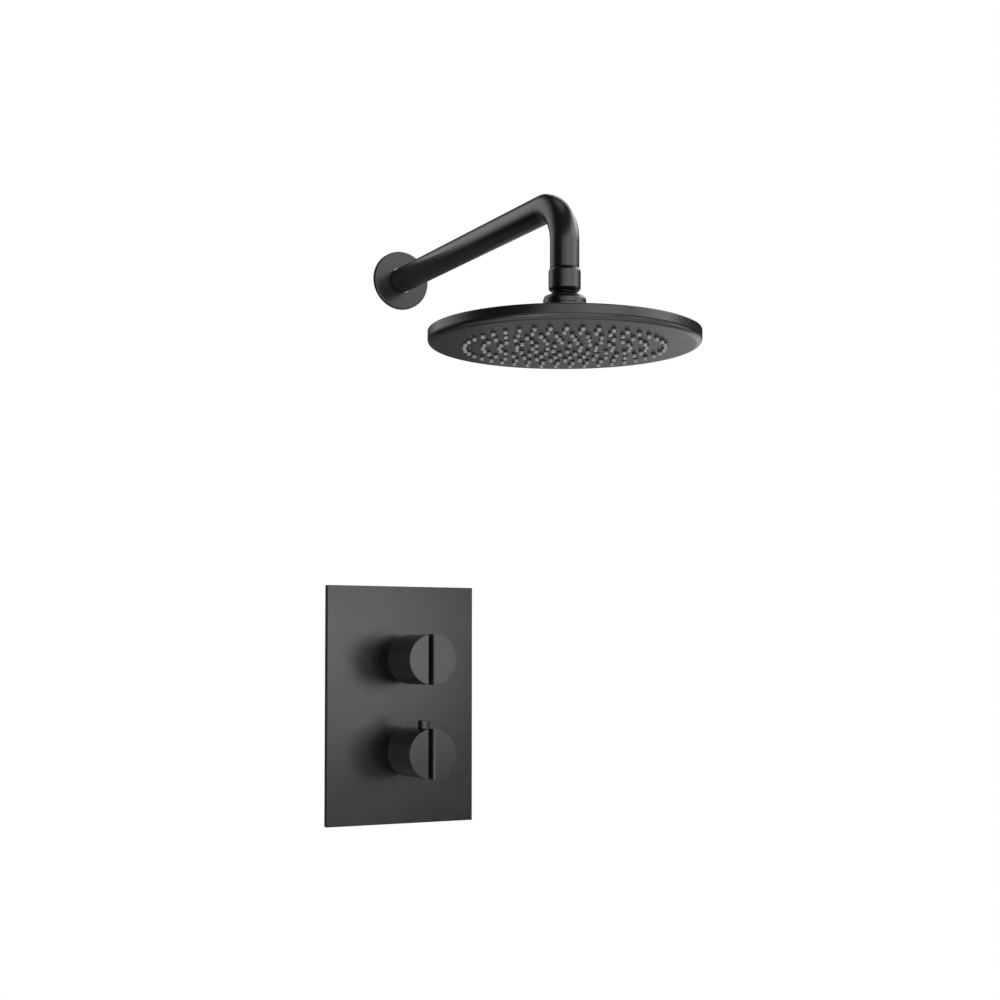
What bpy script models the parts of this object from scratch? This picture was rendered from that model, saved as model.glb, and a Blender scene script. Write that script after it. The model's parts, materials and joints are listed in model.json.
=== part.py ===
"""Concealed rain shower set: a wall arm with a round head on a ball joint above, and a
rectangular trim plate with two slotted knobs below, on the brass valve behind the wall.

Metres, +Z up. The wall's surface is the plane Y = 0: what shows is at -Y, what the wall
hides is at +Y. The origin is at the middle of the trim plate, on the wall's surface.
"""

import math

import bmesh
import bpy
from mathutils import Matrix, Vector

GAP = 0.0003
HELPER_TURN = math.radians(5)

# trim plate
PLATE_WIDTH = 0.160
PLATE_HEIGHT = 0.240
PLATE_DEPTH = 0.007
PLATE_SHEET = 0.002
CONTROL_Z = 0.046

# knobs, measured out from the wall
KNOB_RADIUS = 0.02475
KNOB_BACK = 0.029
KNOB_FRONT = 0.083
SLOT_LEFT = -0.0050
SLOT_RIGHT = -0.0006
SLOT_DEPTH = 0.010
SLOT_EASE = 0.0041
SLOT_EASE_STEPS = 6
SLOT_FLOOR = SLOT_DEPTH - KNOB_FRONT
BUTTON_OUT = 0.0615
BUTTON_RADIUS = 0.00595
BUTTON_PROUD = 0.0074
SLEEVE_RADIUS = 0.016

# arm and head
ARM_Z = 0.434
ARM_REACH = 0.342
ARM_BEND = 0.036
TUBE_RADIUS = 0.0124
TUBE_BORE = 0.0100
THREAD_RADIUS = 0.0102
FLANGE_RADIUS = 0.0295
FLANGE_DEPTH = 0.005
HEAD_RADIUS = 0.115
HEAD_BOTTOM = 0.3095
HEAD_TOP = 0.3215
BALL_Z = 0.3428
BALL_RADIUS = 0.0153
SOCKET_RADIUS = BALL_RADIUS + 0.0004
COLLAR_RADIUS = 0.01815
NUT_BOTTOM = 0.3557
NUT_TOP = 0.3747

# spray nozzles: (ring radius, number of nozzles)
NOZZLE_RINGS = (
    (0.0146, 7),
    (0.0270, 13),
    (0.0405, 20),
    (0.0551, 27),
    (0.0686, 33),
    (0.0844, 41),
)
NOZZLE_RADIUS = 0.0019
NOZZLE_HOLE_RADIUS = 0.0024
NOZZLE_PROUD = 0.0035
NOZZLE_SIDES = 5

# concealed valve, measured in from the wall
VALVE_AXIS_Y = 0.045
POCKET_RADIUS = 0.016
PIPE_RADIUS = 0.0075
PIPE_BORE = 0.0065
PIPE_HOLE = 0.0078
RISER_BOTTOM = 0.0770
RISER_TOP = 0.3975
BRACKET_Y = 0.068

MATERIALS = {
    "matte_black": ((0.012, 0.012, 0.013), 0.40, 0.0),
    "black_plastic": ((0.015, 0.015, 0.015), 0.55, 0.0),
    "grey_silicone": ((0.16, 0.16, 0.16), 0.60, 0.0),
    "rubber": ((0.010, 0.010, 0.010), 0.75, 0.0),
    "brass": ((0.62, 0.45, 0.20), 0.35, 1.0),
    "copper": ((0.72, 0.36, 0.22), 0.35, 1.0),
    "steel": ((0.55, 0.55, 0.56), 0.30, 1.0),
    "ceramic": ((0.75, 0.72, 0.66), 0.25, 0.0),
    "white_plastic": ((0.70, 0.70, 0.68), 0.45, 0.0),
}


def clear_scene():
    for obj in list(bpy.data.objects):
        bpy.data.objects.remove(obj, do_unlink=True)


def make_materials():
    for name, (colour, roughness, metallic) in MATERIALS.items():
        material = bpy.data.materials.new(name)
        material.use_nodes = True
        shader = material.node_tree.nodes["Principled BSDF"]
        shader.inputs["Base Color"].default_value = (*colour, 1.0)
        shader.inputs["Roughness"].default_value = roughness
        shader.inputs["Metallic"].default_value = metallic


# ---------------------------------------------------------------- building blocks


def finish_mesh(name, bm, at, material):
    """Makes an object of bm, with its origin at `at`, faces outward, round sides smooth."""
    bmesh.ops.recalc_face_normals(bm, faces=bm.faces)
    mesh = bpy.data.meshes.new(name)
    bm.to_mesh(mesh)
    bm.free()
    mesh.shade_smooth()
    mesh.set_sharp_from_angle(angle=math.radians(30))
    obj = bpy.data.objects.new(name, mesh)
    obj.location = at
    bpy.context.scene.collection.objects.link(obj)
    if material:
        mesh.materials.append(bpy.data.materials[material])
    return obj


def place(radius, height, axis):
    """A point of a turned profile: its radius and its height along the axis."""
    return {
        "X": (height, radius, 0.0),
        "Y": (radius, height, 0.0),
        "Z": (radius, 0.0, height),
    }[axis]


def turned(name, profile, axis, at, material, steps=16):
    """Turns a closed cross-section, (radius, height) points, about an axis through `at`."""
    bm = bmesh.new()
    corners = [bm.verts.new(place(r, h, axis)) for r, h in profile]
    edges = []
    for i, (radius, _) in enumerate(profile):
        after = (i + 1) % len(profile)
        if radius > 0 or profile[after][0] > 0:
            edges.append(bm.edges.new((corners[i], corners[after])))
    direction = Vector((axis == "X", axis == "Y", axis == "Z"))
    bmesh.ops.spin(
        bm,
        geom=corners + edges,
        cent=(0, 0, 0),
        axis=direction,
        angle=2 * math.pi,
        steps=steps,
        use_merge=True,
    )
    bmesh.ops.remove_doubles(bm, verts=bm.verts, dist=1e-6)
    loose = [v for v in bm.verts if not v.link_faces]
    bmesh.ops.delete(bm, geom=loose, context="VERTS")
    return finish_mesh(name, bm, at, material)


def rod(name, radius, low, high, axis, at, material=None, steps=14):
    """A plain cylinder. Without a material it's a helper, turned a little about its axis."""
    profile = [(0, low), (radius, low), (radius, high), (0, high)]
    obj = turned(name, profile, axis, at, material, steps)
    if material is None:
        obj.rotation_euler["XYZ".index(axis)] = HELPER_TURN
    return obj


def tube(name, outer, inner, low, high, axis, at, material, steps=16):
    profile = [(inner, low), (outer, low), (outer, high), (inner, high)]
    return turned(name, profile, axis, at, material, steps)


def seal_ring(name, middle, section, height, axis, at, steps=16, material="rubber"):
    """A ring of round section."""
    sides = 4
    profile = [
        (
            middle + section * math.cos(2 * math.pi * i / sides),
            height + section * math.sin(2 * math.pi * i / sides),
        )
        for i in range(sides)
    ]
    return turned(name, profile, axis, at, material, steps)


def block(name, low, high, at=(0, 0, 0), material=None):
    bm = bmesh.new()
    size = [b - a for a, b in zip(low, high)]
    middle = [(a + b) / 2 for a, b in zip(low, high)]
    matrix = Matrix.Translation(middle) @ Matrix.Diagonal((*size, 1.0))
    bmesh.ops.create_cube(bm, size=1.0, matrix=matrix)
    return finish_mesh(name, bm, at, material)


def prism(name, section, low, high, at):
    """A straight bar along Z with the given (x, y) section."""
    bm = bmesh.new()
    under = [bm.verts.new((x, y, low)) for x, y in section]
    over = [bm.verts.new((x, y, high)) for x, y in section]
    bridge(bm, under, over)
    bm.faces.new(under)
    bm.faces.new(over)
    return finish_mesh(name, bm, at, None)


def outline(bm, radius, sides, centre, plane_height, turn=0.0):
    """A closed loop of edges in a plane Z = plane_height."""
    corners = []
    for i in range(sides):
        a = turn + 2 * math.pi * i / sides
        x = centre[0] + radius * math.cos(a)
        y = centre[1] + radius * math.sin(a)
        corners.append(bm.verts.new((x, y, plane_height)))
    return corners, [
        bm.edges.new((corners[i], corners[(i + 1) % sides])) for i in range(sides)
    ]


def hex_nut(name, across_flats, bore, low, high, axis, at, material, sides=14):
    """A six-sided nut with a round hole."""
    bm = bmesh.new()
    _, outer = outline(bm, across_flats / math.sqrt(3), 6, (0, 0), low)
    _, inner = outline(bm, bore, sides, (0, 0), low)
    filled = bmesh.ops.triangle_fill(bm, edges=outer + inner, use_beauty=True)
    faces = [g for g in filled["geom"] if isinstance(g, bmesh.types.BMFace)]
    raised = bmesh.ops.extrude_face_region(bm, geom=faces, use_keep_orig=True)
    moved = [g for g in raised["geom"] if isinstance(g, bmesh.types.BMVert)]
    bmesh.ops.translate(bm, verts=moved, vec=(0, 0, high - low))
    turn = {
        "X": Matrix.Rotation(math.pi / 2, 4, "Y"),
        "Y": Matrix.Rotation(-math.pi / 2, 4, "X"),
        "Z": Matrix.Identity(4),
    }[axis]
    bmesh.ops.transform(bm, matrix=turn, verts=bm.verts)
    return finish_mesh(name, bm, at, material)


def boolean(target, operation, helpers):
    """Joins or cuts with each helper, which stays hidden in the scene."""
    for helper in helpers:
        helper.hide_render = True
        helper.display_type = "WIRE"
        modifier = target.modifiers.new(helper.name, "BOOLEAN")
        modifier.operation = operation
        modifier.solver = "EXACT"
        modifier.object = helper
    return target


def cut(target, *helpers):
    return boolean(target, "DIFFERENCE", helpers)


def join(target, *helpers):
    return boolean(target, "UNION", helpers)


def parent_to(parent, *children):
    """Children keep their place in the world and move with the parent."""
    bpy.context.view_layer.update()
    for child in children:
        child.parent = parent
        child.matrix_parent_inverse = parent.matrix_world.inverted()


def empty(name, at):
    obj = bpy.data.objects.new(name, None)
    obj.location = at
    obj.empty_display_size = 0.03
    bpy.context.scene.collection.objects.link(obj)
    return obj


# ---------------------------------------------------------------- arm and wall flange


def arm_route():
    """(centre, direction) along the arm, from inside the wall to its lower end."""
    along, down = Vector((0, -1, 0)), Vector((0, 0, -1))
    stations = [(Vector((0, 0.028, 0)), along), (Vector((0, 0.004, 0)), along)]
    stations.append((stations[-1][0].copy(), along))
    corner = -ARM_REACH + ARM_BEND
    bend_steps = 7
    for i in range(bend_steps + 1):
        a = math.pi / 2 * i / bend_steps
        centre = Vector(
            (0, corner - ARM_BEND * math.sin(a), -ARM_BEND * (1 - math.cos(a)))
        )
        stations.append((centre, (along * math.cos(a) + down * math.sin(a))))
    shoulder = Vector((0, -ARM_REACH, NUT_TOP + GAP - ARM_Z))
    stations += [(shoulder, down), (shoulder.copy(), down)]
    stations.append((Vector((0, -ARM_REACH, 0.3649 - ARM_Z)), down))
    return stations


def swept_ring(bm, centre, direction, radius, sides):
    side = Vector((1, 0, 0))
    other = direction.cross(side)
    ring = []
    for i in range(sides):
        a = 2 * math.pi * i / sides
        ring.append(bm.verts.new(centre + radius * (math.cos(a) * side + math.sin(a) * other)))
    return ring


def bridge(bm, first, second):
    for i in range(len(first)):
        after = (i + 1) % len(first)
        bm.faces.new((first[i], first[after], second[after], second[i]))


def make_arm():
    """A bent tube with a male thread at each end, open all the way through."""
    sides = 16
    stations = arm_route()
    last = len(stations) - 1
    bm = bmesh.new()
    outer, inner = [], []
    for i, (centre, direction) in enumerate(stations):
        threaded = i < 2 or i > last - 2
        radius = THREAD_RADIUS if threaded else TUBE_RADIUS
        bore = THREAD_RADIUS - 0.0024 if threaded else TUBE_BORE
        outer.append(swept_ring(bm, centre, direction, radius, sides))
        inner.append(swept_ring(bm, centre, direction, bore, sides))
    for i in range(last):
        bridge(bm, outer[i], outer[i + 1])
        bridge(bm, inner[i + 1], inner[i])
    bridge(bm, inner[0], outer[0])
    bridge(bm, outer[last], inner[last])
    finish_mesh("shower_arm", bm, (0, 0, ARM_Z), "matte_black")


def make_flange():
    hole = TUBE_RADIUS + 0.0004
    groove = hole + 0.0019
    turned(
        "wall_flange",
        [
            (FLANGE_RADIUS, 0.0),
            (FLANGE_RADIUS, -FLANGE_DEPTH + 0.0016),
            (FLANGE_RADIUS - 0.0005, -FLANGE_DEPTH + 0.0005),
            (FLANGE_RADIUS - 0.0016, -FLANGE_DEPTH),
            (hole, -FLANGE_DEPTH),
            (hole, -FLANGE_DEPTH + 0.0014),
            (groove, -FLANGE_DEPTH + 0.0014),
            (groove, 0.0),
        ],
        "Y",
        (0, 0, ARM_Z),
        "matte_black",
        steps=32,
    )
    seal_ring("flange_seal", hole + 0.00095, 0.0008, -0.0025, "Y", (0, 0, ARM_Z))


def make_drop_elbow():
    """Threaded socket towards the room, compression socket downwards, two screw ears."""
    at = (0, 0, ARM_Z)
    elbow = rod("drop_elbow", 0.0150, 0.0046, 0.0570, "Y", at, "brass", 18)
    down = (0, VALVE_AXIS_Y, ARM_Z)
    join(
        elbow,
        rod("elbow_leg", 0.0130, -0.0380, 0.0030, "Z", down, steps=18),
        rod("elbow_end", 0.0118, -0.0480, -0.0370, "Z", down, steps=14),
        block("elbow_ears", (-0.036, 0.0200, -0.0095), (0.036, 0.0250, 0.0095), at),
    )
    cut(
        elbow,
        rod("elbow_thread", THREAD_RADIUS + 0.0005, 0.0040, 0.0285, "Y", at, steps=16),
        rod("elbow_chamber", 0.0085, 0.0280, 0.0520, "Y", at),
        rod("elbow_passage", 0.0062, -0.0400, 0.0020, "Z", down, steps=10),
        rod("elbow_socket", PIPE_HOLE, -0.0490, -0.0360, "Z", down),
    )
    for side, word in ((-1, "left"), (1, "right")):
        ear = (side * 0.0285, 0, ARM_Z)
        cut(elbow, rod("ear_hole_" + word, 0.0026, 0.0190, 0.0260, "Y", ear, steps=8))
        turned(
            "elbow_screw_" + word,
            [
                (0, 0.0170),
                (0.0030, 0.0172),
                (0.0046, 0.0185),
                (0.0046, 0.0197),
                (0.0022, 0.0197),
                (0.0022, 0.0520),
                (0, 0.0560),
            ],
            "Y",
            ear,
            "steel",
            steps=10,
        )


# ---------------------------------------------------------------- ball joint

HEAD_AT = (0, -ARM_REACH, BALL_Z)


def from_ball(z):
    """Height above the ball's centre."""
    return z - BALL_Z


def on_sphere(radius, across):
    """Height of a sphere's surface where it is `across` from the vertical axis."""
    return math.sqrt(radius * radius - across * across)


def make_connector_nut():
    lip, bore = 0.0086, THREAD_RADIUS + 0.0004
    outer = 0.0136
    turned(
        "connector_nut",
        [
            (lip, from_ball(NUT_BOTTOM)),
            (outer - 0.0016, from_ball(NUT_BOTTOM)),
            (outer, from_ball(NUT_BOTTOM + 0.0018)),
            (outer, from_ball(NUT_TOP - 0.0022)),
            (TUBE_RADIUS + 0.0003, from_ball(NUT_TOP)),
            (bore, from_ball(NUT_TOP)),
            (bore, from_ball(0.3600)),
            (lip, from_ball(0.3600)),
        ],
        "Z",
        HEAD_AT,
        "matte_black",
        steps=24,
    )
    low, high = from_ball(0.3628), from_ball(0.3646)
    tube("inlet_washer", 0.0098, 0.0058, low, high, "Z", HEAD_AT, "rubber", 16)
    screen = rod("inlet_screen", 0.0054, low, high, "Z", HEAD_AT, "steel", 12)
    for i in range(5):
        a = 2 * math.pi * i / 5
        at = (0.0030 * math.cos(a), 0.0030 * math.sin(a) - ARM_REACH, BALL_Z)
        cut(screen, rod(f"screen_hole_{i}", 0.0010, 0.0190, 0.0225, "Z", at, steps=5))


def make_ball():
    """The ball and its hollow stem, one turned piece. The nut's lip holds the stem."""
    arc_steps = 7
    neck, bore, end = 0.0096, 0.0050, 0.0066
    first = -math.acos(end / BALL_RADIUS)
    last = math.acos(neck / BALL_RADIUS)
    profile = [(bore, BALL_RADIUS * math.sin(first))]
    for i in range(arc_steps + 1):
        a = first + (last - first) * i / arc_steps
        profile.append((BALL_RADIUS * math.cos(a), BALL_RADIUS * math.sin(a)))
    profile += [
        (neck, from_ball(0.3552)),
        (0.0082, from_ball(0.3552)),
        (0.0082, from_ball(0.3603)),
        (0.0098, from_ball(0.3603)),
        (0.0098, from_ball(0.3625)),
        (bore, from_ball(0.3625)),
    ]
    turned("swivel_ball", profile, "Z", HEAD_AT, "matte_black", steps=24)


def make_collar():
    """The ring that holds the ball down. Its spigot screws into the head's socket."""
    spigot = 0.0164
    turned(
        "ball_collar",
        [
            (SOCKET_RADIUS, from_ball(0.3395)),
            (spigot, from_ball(0.3395)),
            (spigot, from_ball(0.3443)),
            (COLLAR_RADIUS, from_ball(0.3443)),
            (COLLAR_RADIUS, from_ball(0.3486)),
            (COLLAR_RADIUS - 0.0005, from_ball(0.3501)),
            (COLLAR_RADIUS - 0.0017, from_ball(0.3513)),
            (COLLAR_RADIUS - 0.0034, from_ball(0.3520)),
            (0.0131, from_ball(0.3520)),
            (0.0131, on_sphere(SOCKET_RADIUS, 0.0131)),
            (0.0147, on_sphere(SOCKET_RADIUS, 0.0147)),
            (SOCKET_RADIUS, 0.0),
        ],
        "Z",
        HEAD_AT,
        "matte_black",
        steps=24,
    )


def make_seat():
    turned(
        "ball_seat",
        [
            (0.0080, from_ball(0.3271)),
            (0.0152, from_ball(0.3271)),
            (0.0152, from_ball(0.3366)),
            (0.0144, -on_sphere(SOCKET_RADIUS, 0.0144)),
            (0.0120, -on_sphere(SOCKET_RADIUS, 0.0120)),
            (0.0080, -on_sphere(SOCKET_RADIUS, 0.0080)),
        ],
        "Z",
        HEAD_AT,
        "white_plastic",
        steps=24,
    )
    seal_ring("ball_seal", 0.0157, 0.0007, from_ball(0.3381), "Z", HEAD_AT)


# ---------------------------------------------------------------- rain head

WALL = 0.0022
HEAD_SIDES = 42
SEAM_Z = 0.3136
PLATE_TOP = 0.3120


def make_head_shell():
    """Round cover with its rim and the ball's socket, open below."""
    socket, counterbore, water = 0.0156, 0.0167, 0.0062
    cavity_top = HEAD_TOP - 0.0018
    turned(
        "head_shell",
        [
            (water, from_ball(cavity_top)),
            (HEAD_RADIUS - WALL, from_ball(cavity_top)),
            (HEAD_RADIUS - WALL, from_ball(SEAM_Z)),
            (HEAD_RADIUS, from_ball(SEAM_Z)),
            (HEAD_RADIUS, from_ball(HEAD_TOP - 0.0007)),
            (HEAD_RADIUS - 0.0007, from_ball(HEAD_TOP)),
            (COLLAR_RADIUS, from_ball(HEAD_TOP)),
            (COLLAR_RADIUS, from_ball(0.3440)),
            (counterbore, from_ball(0.3440)),
            (counterbore, from_ball(0.3370)),
            (socket, from_ball(0.3370)),
            (socket, from_ball(0.3268)),
            (water, from_ball(0.3268)),
        ],
        "Z",
        HEAD_AT,
        "matte_black",
        steps=HEAD_SIDES,
    )


def nozzle_places():
    for ring, (radius, count) in enumerate(NOZZLE_RINGS):
        for i in range(count):
            a = 2 * math.pi * (i + 0.5 * (ring % 2)) / count
            yield radius * math.cos(a), radius * math.sin(a)


def make_face_plate():
    """Bottom cover: a pierced disc with a bevelled edge and a spigot inside the rim."""
    edge, flat = HEAD_RADIUS - 0.0001, HEAD_RADIUS - 0.0033
    spigot = HEAD_RADIUS - WALL - GAP
    ring_inside = spigot - 0.0018
    bm = bmesh.new()
    levels = [
        (flat, HEAD_BOTTOM),
        (edge, SEAM_Z - GAP),
        (spigot, SEAM_Z - GAP),
        (spigot, 0.3165),
        (ring_inside, 0.3165),
        (ring_inside, PLATE_TOP),
    ]
    loops = [outline(bm, r, HEAD_SIDES, (0, 0), from_ball(z)) for r, z in levels]
    for (lower, _), (upper, _) in zip(loops, loops[1:]):
        bridge(bm, lower, upper)
    bottom, top = list(loops[0][1]), list(loops[-1][1])
    for x, y in nozzle_places():
        low = outline(bm, NOZZLE_HOLE_RADIUS, NOZZLE_SIDES, (x, y), from_ball(HEAD_BOTTOM))
        high = outline(bm, NOZZLE_HOLE_RADIUS, NOZZLE_SIDES, (x, y), from_ball(PLATE_TOP))
        bridge(bm, high[0], low[0])
        bottom += low[1]
        top += high[1]
    bmesh.ops.triangle_fill(bm, edges=bottom, use_beauty=True)
    bmesh.ops.triangle_fill(bm, edges=top, use_beauty=True)
    finish_mesh("face_plate", bm, HEAD_AT, "matte_black")


def make_nozzle_mat():
    """Silicone sheet inside the head. Its nozzles stand out through the face plate."""
    low, high = from_ball(PLATE_TOP + GAP), from_ball(0.3138)
    tip = from_ball(HEAD_BOTTOM - NOZZLE_PROUD)
    bm = bmesh.new()
    radius = 0.0980
    under, under_edges = outline(bm, radius, 32, (0, 0), low)
    over, _ = outline(bm, radius, 32, (0, 0), high)
    bridge(bm, under, over)
    bm.faces.new(over)
    edges = list(under_edges)
    for x, y in nozzle_places():
        root = outline(bm, NOZZLE_RADIUS, NOZZLE_SIDES, (x, y), low)
        end = outline(bm, NOZZLE_RADIUS * 0.86, NOZZLE_SIDES, (x, y), tip)
        bridge(bm, root[0], end[0])
        bm.faces.new(end[0])
        edges += root[1]
    bmesh.ops.triangle_fill(bm, edges=edges, use_beauty=True)
    finish_mesh("nozzle_mat", bm, HEAD_AT, "grey_silicone")


def make_mat_clamp():
    """Ribbed ring plate that holds the mat down, with a wide hole for the water."""
    low, high = from_ball(0.3141), from_ball(0.3192)
    tube("mat_clamp", 0.0970, 0.0880, low, high, "Z", HEAD_AT, "black_plastic", 32)
    seal_ring("head_seal", 0.1035, 0.0012, from_ball(0.3136), "Z", HEAD_AT, steps=24)


# ---------------------------------------------------------------- trim plate


def make_trim_plate():
    """Shallow pan: a flat front and four short walls back to the tiled surface."""
    half_w, half_h = PLATE_WIDTH / 2, PLATE_HEIGHT / 2
    plate = block(
        "trim_plate", (-half_w, -PLATE_DEPTH, -half_h), (half_w, 0, half_h), material="matte_black"
    )
    wall = 0.0016
    hollow = block(
        "plate_hollow",
        (-half_w + wall, -PLATE_DEPTH + PLATE_SHEET, -half_h + wall),
        (half_w - wall, 0.01, half_h - wall),
    )
    cut(plate, hollow)
    for z in (CONTROL_Z, -CONTROL_Z):
        hole = rod("plate_hole", SLEEVE_RADIUS + 0.0006, -0.01, 0.01, "Y", (0, 0, z), steps=28)
        cut(plate, hole)


def make_plate_gasket():
    """Foam sheet behind the plate, with an opening round each control."""
    half_w, half_h = PLATE_WIDTH / 2 - 0.0022, PLATE_HEIGHT / 2 - 0.0022
    back = -PLATE_DEPTH + PLATE_SHEET + GAP
    gasket = block("plate_gasket", (-half_w, back, -half_h), (half_w, 0, half_h), material="rubber")
    for z in (CONTROL_Z, -CONTROL_Z):
        opening = rod("gasket_opening", 0.0245, -0.01, 0.01, "Y", (0, 0, z), steps=16)
        cut(gasket, opening)


# ---------------------------------------------------------------- knobs


def slot_section():
    """The slot's section: a sharp left lip, and a right lip that rolls over into the slot."""
    outside = -KNOB_FRONT - 0.01
    section = [(SLOT_LEFT, outside), (SLOT_LEFT, SLOT_FLOOR), (SLOT_RIGHT, SLOT_FLOOR)]
    centre_x, centre_y = SLOT_RIGHT + SLOT_EASE, SLOT_EASE - KNOB_FRONT
    for i in range(SLOT_EASE_STEPS):
        turn = math.pi / 2 * i / SLOT_EASE_STEPS
        x = centre_x - SLOT_EASE * math.cos(turn)
        y = centre_y - SLOT_EASE * math.sin(turn)
        section.append((x, y))
    section.append((centre_x, outside))
    return section


def make_knob(name, at, with_button):
    """Plain cylinder with one straight slot across its face, hollow behind."""
    edge = 0.0004
    inside, mouth = 0.0155, 0.0172
    end_wall, seat = -0.0655, -0.0670
    knob = turned(
        name,
        [
            (0, -KNOB_FRONT),
            (KNOB_RADIUS - edge, -KNOB_FRONT),
            (KNOB_RADIUS, -KNOB_FRONT + edge),
            (KNOB_RADIUS, -KNOB_BACK - edge),
            (KNOB_RADIUS - edge, -KNOB_BACK),
            (mouth, -KNOB_BACK),
            (mouth, -0.0370),
            (inside, -0.0370),
            (inside, end_wall),
            (0.0099, end_wall),
            (0.0099, seat),
            (0, seat),
        ],
        "Y",
        at,
        "matte_black",
        steps=30,
    )
    slot = prism(name + "_slot", slot_section(), -0.03, 0.03, at)
    grub = rod(name + "_grub_hole", 0.0024, -0.0300, -0.0150, "Z", (0, -0.0605, at[2]), steps=10)
    cut(knob, slot, grub)
    if with_button:
        bore_at = (0, -BUTTON_OUT, at[2])
        cut(
            knob,
            rod("button_bore", BUTTON_RADIUS + 0.0003, 0.0170, 0.0300, "Z", bore_at, steps=20),
            rod("button_pin_bore", 0.0019, 0.0150, 0.0180, "Z", bore_at, steps=8),
        )
    return knob


def make_insert(name, at):
    """Splined bush between a knob and its spindle."""
    return tube(name, 0.0095, 0.0044, -0.0667, -0.0542, "Y", at, "brass", 20)


def make_grub_screw(name, at):
    """Set screw in the underside of a knob, with a six-sided socket."""
    screw_at = (0, -0.0605, at[2])
    screw = rod(name, 0.0020, -0.0165, -0.0099, "Z", screw_at, "steel", 10)
    return cut(screw, rod(name + "_socket", 0.0010, -0.0180, -0.0140, "Z", screw_at, steps=6))


def make_stop_button(at):
    """Push button in the top of the temperature knob, hollow round its spring."""
    top = KNOB_RADIUS + BUTTON_PROUD
    inner = 0.0196
    button = turned(
        "stop_button",
        [
            (0, top),
            (BUTTON_RADIUS - 0.0003, top),
            (BUTTON_RADIUS, top - 0.0003),
            (BUTTON_RADIUS, inner),
            (0.0047, inner),
            (0.0047, 0.0268),
            (0.0015, 0.0268),
            (0.0015, 0.0147),
            (0, 0.0147),
        ],
        "Z",
        (0, -BUTTON_OUT, at[2]),
        "matte_black",
        steps=20,
    )
    latch = block(
        "stop_latch",
        (-0.0022, -0.0635, 0.0124),
        (0.0022, -0.0480, 0.0144),
        (0, 0, at[2]),
        "steel",
    )
    return button, latch


def coil(name, radius, wire, low, high, turns, axis, at):
    """Compression spring round an axis: one closed wire of steel."""
    sides, per_turn = 5, 8
    total = turns * per_turn
    bm = bmesh.new()
    rings = []
    for i in range(total + 1):
        a = 2 * math.pi * i / per_turn
        height = low + wire + (high - low - 2 * wire) * i / total
        ring = []
        for k in range(sides):
            b = 2 * math.pi * k / sides
            r = radius + wire * math.cos(b)
            point = (r * math.cos(a), r * math.sin(a), height + wire * math.sin(b))
            ring.append(bm.verts.new(point))
        rings.append(ring)
    for first, second in zip(rings, rings[1:]):
        bridge(bm, first, second)
    bm.faces.new(rings[0])
    bm.faces.new(rings[-1])
    if axis == "Y":
        turn = Matrix.Rotation(-math.pi / 2, 4, "X")
        bmesh.ops.transform(bm, matrix=turn, verts=bm.verts)
    return finish_mesh(name, bm, at, "steel")


# ---------------------------------------------------------------- cartridges


def make_cartridge(name, at, back, chamber_front, chamber_radius):
    """Cartridge body: a wide barrel in the valve's pocket and a long neck to the room."""
    body_radius = POCKET_RADIUS - 0.0004
    neck, spindle_hole = 0.0077, 0.0044
    return turned(
        name,
        [
            (spindle_hole, -0.0530),
            (neck, -0.0530),
            (neck, 0.0200),
            (body_radius, 0.0200),
            (body_radius, back),
            (chamber_radius, back),
            (chamber_radius, chamber_front),
            (spindle_hole, chamber_front),
        ],
        "Y",
        at,
        "brass",
    )


def make_spindle(name, at, inner_end, drive_radius, drive_depth):
    """Splined rod that a knob turns, with a drive disc at its inner end."""
    return turned(
        name,
        [
            (0, -0.0640),
            (0.0041, -0.0640),
            (0.0041, inner_end - drive_depth),
            (drive_radius, inner_end - drive_depth),
            (drive_radius, inner_end),
            (0, inner_end),
        ],
        "Y",
        at,
        "brass",
        steps=16,
    )


def make_cartridge_nut(name, at):
    """Retaining nut: thread in the pocket, hexagon in front of it, collar for the sleeve."""
    nut = turned(
        name,
        [
            (0.0080, -0.0040),
            (0.0132, -0.0040),
            (0.0132, 0.0060),
            (0.0156, 0.0060),
            (0.0156, 0.0197),
            (0.0080, 0.0197),
        ],
        "Y",
        at,
        "brass",
    )
    return join(nut, hex_nut(name + "_hex", 0.0350, 0.0100, 0.0062, 0.0137, "Y", at, None))


def make_sleeve(name, at):
    """Plain cover tube from the cartridge nut, through the trim plate, into the knob."""
    tube(name, SLEEVE_RADIUS, 0.0136, -0.0345, 0.0055, "Y", at, "matte_black", 24)
    seal_ring(name + "_seal", SLEEVE_RADIUS + 0.0017, 0.0010, -0.0035, "Y", at)


def make_disc(name, at, front, back, ports):
    """Ceramic disc with round ports off its centre."""
    disc = rod(name, 0.0114, front, back, "Y", at, "ceramic", 20)
    for i in range(ports):
        a = 2 * math.pi * i / ports
        port_at = (0.0062 * math.cos(a), at[1], at[2] + 0.0062 * math.sin(a))
        low, high = front - 0.002, back + 0.002
        cut(disc, rod(f"{name}_port_{i}", 0.0026, low, high, "Y", port_at, steps=8))
    return disc


def make_flow_control():
    at = (0, 0, CONTROL_Z)
    pivot = empty("flow_knob_axis", at)
    knob = make_knob("flow_knob", at, with_button=False)
    insert = make_insert("flow_knob_insert", at)
    screw = make_grub_screw("flow_knob_screw", at)
    spindle = make_spindle("flow_spindle", at, 0.0413, 0.0090, 0.0025)
    moving = make_disc("flow_disc_moving", at, 0.0416, 0.0446, 1)
    parent_to(pivot, knob, insert, screw, spindle, moving)
    make_disc("flow_disc_fixed", at, 0.0449, 0.0479, 2)
    tube("flow_cartridge_seal", 0.0112, 0.0092, 0.0482, 0.0499, "Y", at, "rubber", 16)
    make_cartridge("flow_cartridge", at, 0.0495, 0.0380, 0.0120)
    make_cartridge_nut("flow_cartridge_nut", at)
    make_sleeve("flow_sleeve", at)


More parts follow.
